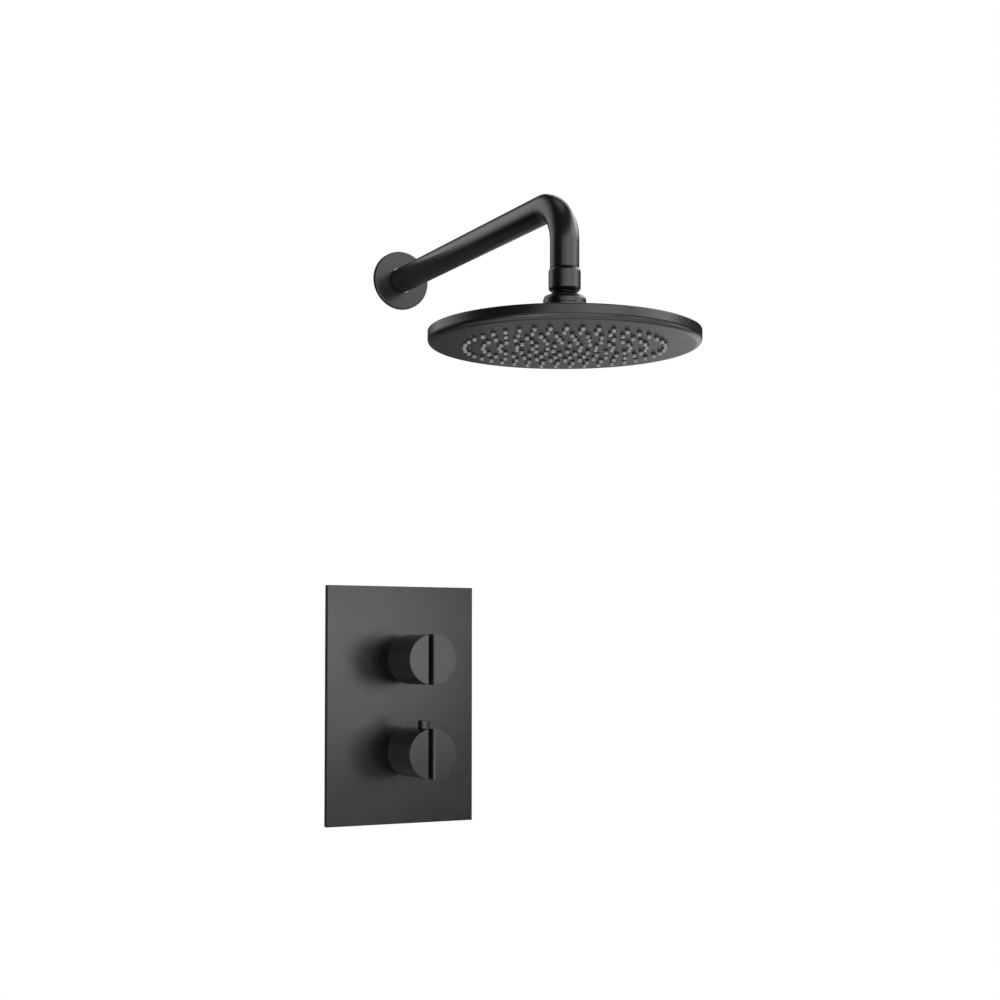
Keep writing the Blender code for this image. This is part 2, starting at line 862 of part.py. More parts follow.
def make_mixing_shuttle(at):
    """Wax element and the shuttle it drives, which slide together against a spring."""
    element = turned(
        "wax_element",
        [
            (0, 0.0375),
            (0.0015, 0.0375),
            (0.0015, 0.0405),
            (0.0048, 0.0405),
            (0.0048, 0.0500),
            (0.0030, 0.0515),
            (0, 0.0515),
        ],
        "Y",
        at,
        "copper",
        steps=14,
    )
    shuttle = tube("mixing_shuttle", 0.0120, 0.0051, 0.0415, 0.0465, "Y", at, "black_plastic")
    coil("mixing_spring", 0.0095, 0.0006, 0.0485, 0.0560, 3, "Y", at)
    pivot = empty("mixing_shuttle_axis", at)
    parent_to(pivot, element, shuttle)


def make_temperature_control():
    at = (0, 0, -CONTROL_Z)
    pivot = empty("temperature_knob_axis", at)
    knob = make_knob("temperature_knob", at, with_button=True)
    insert = make_insert("temperature_knob_insert", at)
    screw = make_grub_screw("temperature_knob_screw", at)
    spindle = make_spindle("temperature_spindle", at, 0.0340, 0.0070, 0.0025)
    button, latch = make_stop_button(at)
    spring_at = (0, -BUTTON_OUT, at[2])
    spring = coil("stop_button_spring", 0.0031, 0.0004, 0.0173, 0.0265, 4, "Z", spring_at)
    parent_to(pivot, knob, insert, screw, spindle, button, latch, spring)
    tube("temperature_stop_ring", 0.0094, 0.0080, -0.0520, -0.0440, "Y", at, "black_plastic")
    make_cartridge("temperature_cartridge", at, 0.0595, 0.0300, 0.0125)
    make_cartridge_nut("temperature_cartridge_nut", at)
    make_sleeve("temperature_sleeve", at)
    make_mixing_shuttle(at)


# ---------------------------------------------------------------- concealed valve


def make_valve_body():
    """Two cartridge pockets joined by a waterway, hot and cold inlets, outlet on top."""
    upper, lower = (0, 0, CONTROL_Z), (0, 0, -CONTROL_Z)
    inlet_at = (0, VALVE_AXIS_Y, -CONTROL_Z)
    outlet_at = (0, VALVE_AXIS_Y, 0)
    body = rod("valve_body", 0.0200, 0.0140, 0.0650, "Y", upper, "brass", 18)
    join(
        body,
        rod("lower_pocket", 0.0200, 0.0140, 0.0650, "Y", lower, steps=16),
        block("waterway", (-0.0140, 0.0300, -0.0460), (0.0140, 0.0600, 0.0460)),
        block("bracket_lug", (-0.0300, 0.0480, -0.0080), (0.0300, 0.0676, 0.0080)),
        rod("inlets", 0.0145, -0.0500, 0.0500, "X", inlet_at, steps=16),
        rod("inlet_threads", 0.0118, -0.0600, 0.0600, "X", inlet_at, steps=16),
        rod("outlet", 0.0145, 0.0400, 0.0760, "Z", outlet_at, steps=16),
        rod("outlet_thread", 0.0118, 0.0400, 0.0860, "Z", outlet_at, steps=16),
    )
    cut(
        body,
        rod("upper_bore", POCKET_RADIUS, 0.0100, 0.0500, "Y", upper, steps=16),
        rod("lower_bore", POCKET_RADIUS, 0.0100, 0.0600, "Y", lower, steps=16),
        rod("passage", 0.0055, -0.0460, 0.0460, "Z", (0, 0.0540, 0), steps=10),
        rod("upper_port", 0.0055, 0.0480, 0.0560, "Y", upper, steps=10),
        rod("hot_bore", 0.0095, -0.0620, -0.0270, "X", inlet_at, steps=16),
        rod("cold_bore", 0.0095, 0.0270, 0.0620, "X", inlet_at, steps=16),
        rod("inlet_ports", 0.0050, -0.0300, 0.0300, "X", inlet_at, steps=10),
        rod("outlet_bore", PIPE_HOLE, RISER_BOTTOM - 0.0005, 0.0900, "Z", outlet_at, steps=16),
        rod("outlet_port", 0.0060, 0.0560, 0.0780, "Z", outlet_at, steps=10),
    )
    for side in (-1, 1):
        at = (side * 0.0235, 0, 0)
        cut(body, rod(f"lug_hole_{side}", 0.0024, 0.0460, 0.0700, "Y", at, steps=8))


def make_inlet(word, side):
    """Filter, non-return valve and compression nut of one inlet."""
    at = (0, VALVE_AXIS_Y, -CONTROL_Z)
    near, far = side * 0.0300, side * 0.0440
    turned(
        word + "_check_valve",
        [(0.0050, near), (0.0091, near), (0.0091, far), (0.0065, far), (0.0050, far - side * 0.004)],
        "X",
        at,
        "white_plastic",
        steps=16,
    )
    turned(
        word + "_inlet_filter",
        [
            (0, side * 0.0480),
            (0.0070, side * 0.0480),
            (0.0085, side * 0.0560),
            (0.0091, side * 0.0560),
            (0.0091, side * 0.0570),
            (0.0078, side * 0.0570),
            (0.0063, side * 0.0490),
            (0, side * 0.0490),
        ],
        "X",
        at,
        "steel",
        steps=16,
    )
    make_compression_nut(word + "_inlet_nut", "X", at, side * 0.0515, side * 0.0603, side * 0.0660)


def make_compression_nut(name, axis, at, mouth, shoulder, end):
    """Hexagon nut over a male thread, with a smaller hole where the pipe goes in."""
    low, high = sorted((mouth, end))
    nut = hex_nut(name, 0.0270, PIPE_HOLE, low, high, axis, at, "brass")
    beyond = mouth + (mouth - shoulder) * 0.3
    low, high = sorted((beyond, shoulder))
    return cut(nut, rod(name + "_thread", 0.0123, low, high, axis, at))


def make_riser():
    """Pipe from the valve up to the drop elbow, with a compression nut at each end."""
    at = (0, VALVE_AXIS_Y, 0)
    tube("riser_pipe", PIPE_RADIUS, PIPE_BORE, RISER_BOTTOM, RISER_TOP, "Z", at, "copper", 18)
    make_compression_nut("riser_lower_nut", "Z", at, 0.0775, 0.0863, 0.0920)
    make_compression_nut("riser_upper_nut", "Z", at, 0.3945, 0.3857, 0.3800)


def make_bracket():
    """Steel plate behind the valve, screwed to the wall's frame at its corners."""
    bracket = block(
        "mounting_bracket",
        (-0.0600, BRACKET_Y, -0.0300),
        (0.0600, BRACKET_Y + 0.002, 0.0300),
        material="steel",
    )
    for side in (-1, 1):
        for z in (-0.0200, 0.0200):
            at = (side * 0.0500, 0, z)
            name = f"wall_screw_hole_{side}_{z}"
            cut(bracket, rod(name, 0.0030, 0.0600, 0.0800, "Y", at, steps=8))
        at = (side * 0.0235, 0, 0)
        cut(bracket, rod(f"valve_screw_hole_{side}", 0.0025, 0.0600, 0.0800, "Y", at, steps=8))
        turned(
            "bracket_screw_left" if side < 0 else "bracket_screw_right",
            [
                (0, 0.0697),
                (0.0020, 0.0697),
                (0.0020, 0.0477),
                (0.0042, 0.0477),
                (0.0042, 0.0462),
                (0.0028, 0.0452),
                (0, 0.0452),
            ],
            "Y",
            at,
            "steel",
            steps=10,
        )


def make_upper_set():
    make_arm()
    make_flange()
    make_drop_elbow()
    make_connector_nut()
    make_ball()
    make_collar()
    make_seat()
    make_head_shell()
    make_face_plate()
    make_nozzle_mat()
    make_mat_clamp()
    names = ("ball_collar", "ball_seat", "ball_seal", "head_shell", "face_plate")
    names += ("nozzle_mat", "mat_clamp", "head_seal")
    head = empty("head_tilt_centre", HEAD_AT)
    swivel = empty("head_swivel_centre", HEAD_AT)
    parent_to(head, *(bpy.data.objects[n] for n in names))
    parent_to(swivel, bpy.data.objects["swivel_ball"], head)


def make_lower_set():
    make_trim_plate()
    make_plate_gasket()
    make_flow_control()
    make_temperature_control()
    make_valve_body()
    make_inlet("hot", -1)
    make_inlet("cold", 1)
    make_riser()
    make_bracket()


def main():
    clear_scene()
    make_materials()
    make_upper_set()
    make_lower_set()


main()
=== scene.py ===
"""Looks for the concealed rain shower set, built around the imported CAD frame.

Metres, +Z up. The wall's surface is Y = 0 and the room is at -Y.
"""

import json
import math

import bmesh
import bpy
from mathutils import Matrix, Vector


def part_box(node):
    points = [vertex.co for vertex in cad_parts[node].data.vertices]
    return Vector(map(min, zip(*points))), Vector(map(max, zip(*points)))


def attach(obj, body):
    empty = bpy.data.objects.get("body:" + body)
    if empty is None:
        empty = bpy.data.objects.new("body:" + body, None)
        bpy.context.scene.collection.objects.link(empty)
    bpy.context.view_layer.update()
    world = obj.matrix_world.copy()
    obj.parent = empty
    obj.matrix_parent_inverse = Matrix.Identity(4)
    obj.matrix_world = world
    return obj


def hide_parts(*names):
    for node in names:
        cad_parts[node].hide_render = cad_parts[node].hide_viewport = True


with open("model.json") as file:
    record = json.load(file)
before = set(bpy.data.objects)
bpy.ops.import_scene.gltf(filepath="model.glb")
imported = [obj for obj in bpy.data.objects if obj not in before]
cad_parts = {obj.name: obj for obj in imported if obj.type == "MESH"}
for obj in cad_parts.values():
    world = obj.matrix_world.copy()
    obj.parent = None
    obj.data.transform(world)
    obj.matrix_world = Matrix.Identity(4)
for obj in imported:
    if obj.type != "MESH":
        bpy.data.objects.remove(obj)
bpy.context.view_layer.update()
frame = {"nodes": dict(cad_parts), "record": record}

# ---------------------------------------------------------------- sizes from the frame


def span(node, axis):
    low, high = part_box(node)
    return low[axis], high[axis]


def middle(node):
    low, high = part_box(node)
    return tuple((a + b) / 2 for a, b in zip(low, high))


def radius_of(node):
    """Half of the node's width along X."""
    low, high = span(node, X)
    return (high - low) / 2


X, Y, Z = 0, 1, 2
PLATE_X = span("trim_plate", X)
PLATE_Y = span("trim_plate", Y)
PLATE_Z = span("trim_plate", Z)
KNOB_RADIUS = radius_of("flow_knob")
KNOB_FRONT, KNOB_BACK = span("flow_knob", Y)
FLOW_Z = middle("flow_sleeve")[2]
TEMPERATURE_Z = middle("temperature_sleeve")[2]
SLEEVE_RADIUS = radius_of("flow_sleeve")
SLEEVE_Y = span("flow_sleeve", Y)
BUTTON_X, BUTTON_Y, _ = middle("stop_button")
BUTTON_RADIUS = radius_of("stop_button")
BUTTON_TOP = span("stop_button", Z)[1] - TEMPERATURE_Z
ARM_RADIUS = radius_of("shower_arm")
ARM_Z = middle("wall_flange")[2]
ARM_END = span("shower_arm", Z)[0]
ARM_BACK = span("shower_arm", Y)[1]
FLANGE_RADIUS = radius_of("wall_flange")
FLANGE_FRONT = span("wall_flange", Y)[0]
HEAD_Y = middle("connector_nut")[1]
HEAD_RADIUS = span("head_shell", X)[1]
NUT_Z = span("connector_nut", Z)
NUT_RADIUS = radius_of("connector_nut")
COLLAR_Z = span("ball_collar", Z)
COLLAR_RADIUS = radius_of("ball_collar")
BALL_RADIUS = radius_of("swivel_ball")
FACE_Z = span("face_plate", Z)[0]
NOZZLE_TIP = span("nozzle_mat", Z)[0]
JOINTS = {j["name"]: j for j in frame["record"]["behaviour"]["joints"]}
BALL_Z = JOINTS["head_tilt"]["pos_m"][2]
RISER_Y = middle("riser_pipe")[1]

# ---------------------------------------------------------------- camera, stage and light

CAMERA_PLACE = (-0.6707, -1.5187, 0.0512)
CAMERA_UP, CAMERA_ROUND = 2.123, -28.287  # degrees
LENS_MM, SENSOR_MM = 58.46, 36.0
SHIFT = (-0.0254, 0.094)


def make_camera():
    data = bpy.data.cameras.new("camera")
    data.sensor_width = SENSOR_MM
    data.lens = LENS_MM
    data.shift_x, data.shift_y = SHIFT
    camera = bpy.data.objects.new("camera", data)
    camera.location = CAMERA_PLACE
    camera.rotation_euler = (math.radians(90 + CAMERA_UP), 0.0, math.radians(CAMERA_ROUND))
    bpy.context.scene.collection.objects.link(camera)
    bpy.context.scene.camera = camera


def stage_material(name, radiance, one_sided):
    """A plain white surface of the given radiance. A one-sided one is clear from behind."""
    material = bpy.data.materials.new(name)
    material.use_nodes = True
    nodes, links = material.node_tree.nodes, material.node_tree.links
    nodes.clear()
    out = nodes.new("ShaderNodeOutputMaterial")
    white = nodes.new("ShaderNodeEmission")
    white.inputs["Strength"].default_value = radiance
    last = white
    if one_sided:
        geometry = nodes.new("ShaderNodeNewGeometry")
        clear = nodes.new("ShaderNodeBsdfTransparent")
        last = nodes.new("ShaderNodeMixShader")
        links.new(geometry.outputs["Backfacing"], last.inputs[0])
        links.new(white.outputs[0], last.inputs[1])
        links.new(clear.outputs[0], last.inputs[2])
    links.new(last.outputs[0], out.inputs["Surface"])
    return material


def stage_plane(name, corners, material, to_the_eye=True):
    """A plane for the eye alone, or for the part's reflections alone. It casts no shadow."""
    mesh = bpy.data.meshes.new(name)
    mesh.from_pydata(corners, [], [(0, 1, 2, 3)])
    mesh.materials.append(material)
    obj = bpy.data.objects.new(name, mesh)
    bpy.context.scene.collection.objects.link(obj)
    obj.visible_camera = to_the_eye
    obj.visible_diffuse = not to_the_eye
    obj.visible_glossy = not to_the_eye
    obj.visible_transmission = False
    obj.visible_shadow = False


WALL_Y = 0.0004
FLOOR_Z = -0.45
ROOM_HALF, ROOM_TOP = 4.0, 3.0
SHIELD_HALF = 0.095
SHIELD_TOP = ARM_Z + 0.04
SHIELD_RADIANCE = 0.12


def upright(half, low, high):
    """Corners of a rectangle on the wall, half as wide to each side."""
    return [(-half, WALL_Y, low), (half, WALL_Y, low), (half, WALL_Y, high), (-half, WALL_Y, high)]


def make_stage():
    """White wall and floor. The shield keeps the hidden brass out of the part's reflections."""
    wall = upright(ROOM_HALF, FLOOR_Z, ROOM_TOP)
    stage_plane("wall", wall, stage_material("stage_wall", 1.0, True))
    half = ROOM_HALF
    corners = ((-half, -half), (half, -half), (half, half), (-half, half))
    floor = [(x, y, FLOOR_Z) for x, y in corners]
    stage_plane("floor", floor, stage_material("stage_floor", 1.0, False))
    shield = upright(SHIELD_HALF, PLATE_Z[0], SHIELD_TOP)
    stage_plane("shield", shield, stage_material("stage_shield", SHIELD_RADIANCE, True), False)


LIT_POINT = Vector((0.0, -0.2, 0.15))

# round softboxes about the part: name, degrees round from the room towards +X,
# degrees up, distance and diameter in metres, radiant power in watts
SOFTBOXES = (
    ("right", 90, 35, 3.0, 1.6, 30),
    ("back_right", 132, 42, 3.0, 1.9, 34),
    ("overhead", 0, 85, 3.0, 1.6, 6),
    ("plate", 23.9, -6.7, 0.77, 0.30, 0.80),
)

# soft glows of the room around the part: name, degrees round, degrees up, degrees from
# the middle to where it fades out, radiance in the middle
GLOWS = (
    ("low_left", -58, -32, 24, 4.0),
    ("front", 2, 8, 27, 3.0),
    ("front_high", 27, 23, 17, 2.0),
    ("front_left", -32, -2, 28, 2.5),
    ("low_front", -6, -34, 28, 2.0),
    ("front_right", 54, 22, 30, 3.6),
    ("low_right", 80, -25, 26, 2.0),
    ("back_left", -146, 24, 36, 1.5),
    ("underneath", 0, -85, 62, 1.5),
    ("back_low", 158, -14, 30, 0.26),
    ("back_fill", 130, -14, 20, 1.3),
)

# the dim rest of the room: its radiance low down and high up, and the heights of the
# direction looked in, from -1 to 1, between which it changes
SKY_LOW = 0.01
SKY_HIGH = 0.05
SKY_FADE = (-0.25, 0.9)


def towards(round_by, up):
    """Unit vector, from degrees round from the room towards +X and degrees up."""
    turn, rise = math.radians(round_by), math.radians(up)
    level = math.cos(rise)
    return Vector((math.sin(turn) * level, -math.cos(turn) * level, math.sin(rise)))


def make_lights():
    for name, round_by, up, distance, diameter, power in SOFTBOXES:
        data = bpy.data.lights.new(name, "AREA")
        data.shape = "DISK"
        data.size = diameter
        data.energy = power
        lamp = bpy.data.objects.new(name, data)
        away = towards(round_by, up)
        lamp.location = LIT_POINT + distance * away
        lamp.rotation_euler = (-away).to_track_quat("-Z", "Y").to_euler()
        lamp.visible_camera = False
        bpy.context.scene.collection.objects.link(lamp)


def add(nodes, links, first, second):
    """The sum of two sockets."""
    node = nodes.new("ShaderNodeMath")
    node.operation = "ADD"
    links.new(first, node.inputs[0])
    links.new(second, node.inputs[1])
    return node.outputs[0]


def glow(nodes, links, direction, round_by, up, reach, strength):
    """Strength of one soft glow in the direction looked in."""
    facing = nodes.new("ShaderNodeVectorMath")
    facing.operation = "DOT_PRODUCT"
    facing.inputs[1].default_value = towards(round_by, up)
    links.new(direction, facing.inputs[0])
    fade = nodes.new("ShaderNodeMapRange")
    fade.interpolation_type = "SMOOTHSTEP"
    fade.inputs["From Min"].default_value = math.cos(math.radians(reach))
    fade.inputs["From Max"].default_value = 1.0
    fade.inputs["To Min"].default_value = 0.0
    fade.inputs["To Max"].default_value = strength
    links.new(facing.outputs["Value"], fade.inputs["Value"])
    return fade.outputs[0]


def make_world():
    """White to the eye. The part sees a dim room with soft glows around it."""
    world = bpy.data.worlds.new("studio")
    world.use_nodes = True
    nodes, links = world.node_tree.nodes, world.node_tree.links
    nodes.clear()
    out = nodes.new("ShaderNodeOutputWorld")
    path = nodes.new("ShaderNodeLightPath")
    seen = nodes.new("ShaderNodeBackground")
    felt = nodes.new("ShaderNodeBackground")
    direction = nodes.new("ShaderNodeTexCoord").outputs["Generated"]
    split = nodes.new("ShaderNodeSeparateXYZ")
    links.new(direction, split.inputs[0])
    fade = nodes.new("ShaderNodeMapRange")
    fade.inputs["From Min"].default_value, fade.inputs["From Max"].default_value = SKY_FADE
    fade.inputs["To Min"].default_value = SKY_LOW
    fade.inputs["To Max"].default_value = SKY_HIGH
    links.new(split.outputs["Z"], fade.inputs["Value"])
    total = fade.outputs[0]
    for _, round_by, up, reach, strength in GLOWS:
        one = glow(nodes, links, direction, round_by, up, reach, strength)
        total = add(nodes, links, total, one)
    mix = nodes.new("ShaderNodeMixShader")
    seen.inputs["Color"].default_value = (1, 1, 1, 1)
    felt.inputs["Color"].default_value = (1, 1, 1, 1)
    links.new(total, felt.inputs["Strength"])
    links.new(path.outputs["Is Camera Ray"], mix.inputs[0])
    links.new(felt.outputs[0], mix.inputs[1])
    links.new(seen.outputs[0], mix.inputs[2])
    links.new(mix.outputs[0], out.inputs["Surface"])
    bpy.context.scene.world = world
    bpy.context.scene.view_settings.view_transform = "Standard"


# ---------------------------------------------------------------- materials


def surface(name, colours, roughness, metallic=0.0, *, grain, bump, patches):
    """A Principled material with drifting colour, uneven roughness and a bumped grain.

    colours are the two ends of its colour drift, roughness its two ends, and patches the
    size of the drift. grain is the size of the surface's texture and bump its depth. All
    three sizes are in metres.
    """
    material = bpy.data.materials.new(name)
    material.use_nodes = True
    nodes, links = material.node_tree.nodes, material.node_tree.links
    shader = nodes["Principled BSDF"]
    shader.inputs["Metallic"].default_value = metallic
    where = nodes.new("ShaderNodeTexCoord")
    drift = nodes.new("ShaderNodeTexNoise")
    drift.inputs["Scale"].default_value = 1.0 / patches
    drift.inputs["Detail"].default_value = 5.0
    drift.inputs["Roughness"].default_value = 0.6
    links.new(where.outputs["Object"], drift.inputs["Vector"])
    tint = nodes.new("ShaderNodeValToRGB")
    tint.color_ramp.elements[0].position = 0.3
    tint.color_ramp.elements[1].position = 0.7
    tint.color_ramp.elements[0].color = (*colours[0], 1)
    tint.color_ramp.elements[1].color = (*colours[1], 1)
    links.new(drift.outputs["Fac"], tint.inputs[0])
    links.new(tint.outputs[0], shader.inputs["Base Color"])
    fine = nodes.new("ShaderNodeTexNoise")
    fine.inputs["Scale"].default_value = 1.0 / grain
    fine.inputs["Detail"].default_value = 3.0
    links.new(where.outputs["Object"], fine.inputs["Vector"])
    both = add(nodes, links, drift.outputs["Fac"], fine.outputs["Fac"])
    rough = nodes.new("ShaderNodeMapRange")
    rough.inputs["From Min"].default_value = 0.6
    rough.inputs["From Max"].default_value = 1.4
    rough.inputs["To Min"].default_value = roughness[0]
    rough.inputs["To Max"].default_value = roughness[1]
    links.new(both, rough.inputs["Value"])
    links.new(rough.outputs[0], shader.inputs["Roughness"])
    relief = nodes.new("ShaderNodeBump")
    relief.inputs["Strength"].default_value = 1.0
    relief.inputs["Distance"].default_value = bump
    links.new(fine.outputs["Fac"], relief.inputs["Height"])
    links.new(relief.outputs[0], shader.inputs["Normal"])
    return material


def painted_shade_by_height(material, light_below, dark_above, share):
    """Painted shade: dims the material's colour to `share` of itself from one height to the other.
    """
    nodes, links = material.node_tree.nodes, material.node_tree.links
    shader = nodes["Principled BSDF"]
    colour = shader.inputs["Base Color"].links[0].from_socket
    where = nodes.new("ShaderNodeTexCoord")
    split = nodes.new("ShaderNodeSeparateXYZ")
    links.new(where.outputs["Object"], split.inputs[0])
    level = nodes.new("ShaderNodeMapRange")
    level.inputs["From Min"].default_value = light_below
    level.inputs["From Max"].default_value = dark_above
    level.inputs["To Min"].default_value = 1.0
    level.inputs["To Max"].default_value = share
    links.new(split.outputs["Z"], level.inputs["Value"])
    dim = nodes.new("ShaderNodeVectorMath")
    dim.operation = "SCALE"
    links.new(colour, dim.inputs[0])
    links.new(level.outputs[0], dim.inputs["Scale"])
    links.new(dim.outputs[0], shader.inputs["Base Color"])
    return material


# painted shade: a nozzle keeps its colour up to the first height above its tip, and from the
# second one on only this share of it is left, darkening it up towards its root
NOZZLE_LIT, NOZZLE_DARK = 0.0016, 0.0026
NOZZLE_SHADE = 0.02


def make_materials():
    """One material for each of the record's material slots."""
    return {
        "matte_black": surface(
            "powder_coat",
            ((0.0026, 0.0026, 0.0027), (0.0042, 0.0042, 0.0042)),
            (0.25, 0.33),
            grain=0.00045,
            bump=0.000010,
            patches=0.03,
        ),
        "black_plastic": surface(
            "moulded_black",
            ((0.008, 0.008, 0.008), (0.014, 0.014, 0.014)),
            (0.45, 0.58),
            grain=0.0006,
            bump=0.00002,
            patches=0.02,
        ),
        # the silicone gets painted shade: each nozzle darkens from just above its tip up to its
        # root
        "grey_silicone": painted_shade_by_height(
            surface(
                "silicone",
                ((0.20, 0.20, 0.20), (0.26, 0.26, 0.26)),
                (0.50, 0.62),
                grain=0.0004,
                bump=0.00002,
                patches=0.01,
            ),
            NOZZLE_TIP + NOZZLE_LIT,
            NOZZLE_TIP + NOZZLE_DARK,
            NOZZLE_SHADE,
        ),
        "rubber": surface(
            "black_rubber",
            ((0.010, 0.010, 0.010), (0.022, 0.022, 0.022)),
            (0.70, 0.88),
            grain=0.0007,
            bump=0.00008,
            patches=0.02,
        ),
        "brass": surface(
            "cast_brass",
            ((0.56, 0.40, 0.17), (0.70, 0.53, 0.25)),
            (0.28, 0.46),
            1.0,
            grain=0.0010,
            bump=0.00006,
            patches=0.02,
        ),
        "copper": surface(
            "drawn_copper",
            ((0.55, 0.25, 0.14), (0.78, 0.42, 0.28)),
            (0.22, 0.42),
            1.0,
            grain=0.0008,
            bump=0.00002,
            patches=0.05,
        ),
        "steel": surface(
            "stainless",
            ((0.48, 0.48, 0.49), (0.60, 0.60, 0.61)),
            (0.24, 0.38),
            1.0,
            grain=0.0005,
            bump=0.00002,
            patches=0.03,
        ),
        "ceramic": surface(
            "lapped_ceramic",
            ((0.72, 0.69, 0.62), (0.80, 0.78, 0.72)),
            (0.10, 0.18),
            grain=0.0005,
            bump=0.000005,
            patches=0.01,
        ),
        "white_plastic": surface(
            "acetal",
            ((0.66, 0.66, 0.63), (0.76, 0.76, 0.74)),
            (0.35, 0.48),
            grain=0.0006,
            bump=0.00002,
            patches=0.02,
        ),
    }


make_camera()
make_stage()
make_lights()
make_world()
MATERIALS = make_materials()
SLOT_OF = {s["node"]: s["material_slot"] for s in frame["record"]["subparts"]}
BODY_OF = {
    node: body for body, nodes in frame["record"]["behaviour"]["bodies"].items() for node in nodes
}

# ---------------------------------------------------------------- mesh tools


SAME = 1e-6  # lengths closer than this are the same


def rounded(points, steps=5):
    """A closed profile with its corners rounded. A point is (radius, height, setback)."""
    out = []
    for i, (r, h, *setback) in enumerate(points):
        if not setback:
            out.append((r, h))
            continue
        here = Vector((r, h))
        before = Vector(points[i - 1][:2]) - here
        after = Vector(points[(i + 1) % len(points)][:2]) - here
        start = here + before.normalized() * min(setback[0], before.length / 2)
        end = here + after.normalized() * min(setback[0], after.length / 2)
        for k in range(steps + 1):
            t = k / steps
            p = start * (1 - t) ** 2 + here * 2 * t * (1 - t) + end * t * t
            out.append((p.x, p.y))
    return out


def on_axis(axis, across, along, angle):
    a, b = across * math.cos(angle), across * math.sin(angle)
    return {"X": (along, a, b), "Y": (a, along, b), "Z": (a, b, along)}[axis]


def add_turned(bm, profile, axis, centre, steps):
    """Turns a closed profile about an axis through centre, into bm."""
    rings = []
    for r, h in profile:
        count = steps if r > SAME else 1
        ring = []
        for i in range(count):
            x, y, z = on_axis(axis, r, h, 2 * math.pi * i / steps)
            ring.append(bm.verts.new((x + centre[0], y + centre[1], z + centre[2])))
        rings.append(ring)
    for low, high in zip(rings, rings[1:] + rings[:1]):
        for i in range(steps):
            corners = [low[i % len(low)], low[(i + 1) % len(low)]]
            corners += [high[(i + 1) % len(high)], high[i % len(high)]]
            unique = list(dict.fromkeys(corners))
            if len(unique) > 2:
                bm.faces.new(unique)


def to_object(name, bm, at=(0, 0, 0)):
    bmesh.ops.recalc_face_normals(bm, faces=bm.faces)
    mesh = bpy.data.meshes.new(name)
    bm.to_mesh(mesh)
    bm.free()
    obj = bpy.data.objects.new(name, mesh)
    obj.location = at
    bpy.context.scene.collection.objects.link(obj)
    return obj


def turned(name, profile, axis, at, steps=96):
    bm = bmesh.new()
    add_turned(bm, rounded(profile), axis, (0, 0, 0), steps)
    return to_object(name, bm, at)


def rod(name, radius, low, high, axis, at, steps=64):
    return turned(name, [(0, low), (radius, low), (radius, high), (0, high)], axis, at, steps)


def block(name, low, high, at=(0, 0, 0)):
    bm = bmesh.new()
    size = [b - a for a, b in zip(low, high)]
    centre = [(a + b) / 2 for a, b in zip(low, high)]
    matrix = Matrix.Translation(centre) @ Matrix.Diagonal((*size, 1.0))
    bmesh.ops.create_cube(bm, size=1.0, matrix=matrix)
    return to_object(name, bm, at)


def bake(obj):
    """Replaces the object's mesh by what its modifiers make of it."""
    graph = bpy.context.evaluated_depsgraph_get()
    mesh = bpy.data.meshes.new_from_object(obj.evaluated_get(graph))
    old = obj.data
    obj.modifiers.clear()
    obj.data = mesh
    bpy.data.meshes.remove(old)


def combine(target, operation, helpers):
    for helper in helpers:
        modifier = target.modifiers.new(helper.name, "BOOLEAN")
        modifier.operation = operation
        modifier.solver = "EXACT"
        modifier.object = helper
    bake(target)
    for helper in helpers:
        bpy.data.objects.remove(helper, do_unlink=True)
    return target


def cut(target, *helpers):
    return combine(target, "DIFFERENCE", helpers)


def join(target, *helpers):
    return combine(target, "UNION", helpers)


def soften(obj, width, segments=3, angle=35):
    """Rounds the edges that are sharper than angle."""
    bevel = obj.modifiers.new("edge", "BEVEL")
    bevel.width = width
    bevel.segments = segments
    bevel.limit_method = "ANGLE"
    bevel.angle_limit = math.radians(angle)
    bevel.miter_outer = "MITER_ARC"
    bake(obj)
    return obj


def even_out(obj):
    """Keeps a large flat face flat in the light, right up to its rounded edges."""
    weighted = obj.modifiers.new("weighted", "WEIGHTED_NORMAL")
    weighted.mode = "FACE_AREA"
    weighted.keep_sharp = True
    bake(obj)


def stands_for(obj, node, smooth_angle=32):
    """obj takes the CAD node's place, its body, its slot and its material."""
    obj.data.shade_smooth()
    obj.data.set_sharp_from_angle(angle=math.radians(smooth_angle))
    even_out(obj)
    obj.data.materials.clear()
    obj.data.materials.append(MATERIALS[SLOT_OF[node]])
    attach(obj, BODY_OF[node])
    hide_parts(node)
    return obj


def torus(name, radius, section, height, axis, at, steps=96, sides=14):
    profile = [
        (
            radius + section * math.cos(2 * math.pi * i / sides),
            height + section * math.sin(2 * math.pi * i / sides),
        )
        for i in range(sides)
    ]
    bm = bmesh.new()
    add_turned(bm, profile, axis, (0, 0, 0), steps)
    return to_object(name, bm, at)


# ---------------------------------------------------------------- arm and flange

BEND = 0.036
ARM_BORE = 0.0100
THREAD_BORE = 0.0078
THREAD_ROOT, THREAD_CREST = 0.0094, 0.0101
RIDGE = (THREAD_ROOT, THREAD_CREST, THREAD_CREST, THREAD_ROOT)
BACK_RIDGES, END_RIDGES = 12, 5


def threaded(start, end, ridges, direction):
    """Stations of a threaded length from start to end."""
    steps = ridges * len(RIDGE)
    for i in range(steps + 1):
        centre = start + (end - start) * i / steps
        yield centre, direction, RIDGE[i % len(RIDGE)], THREAD_BORE


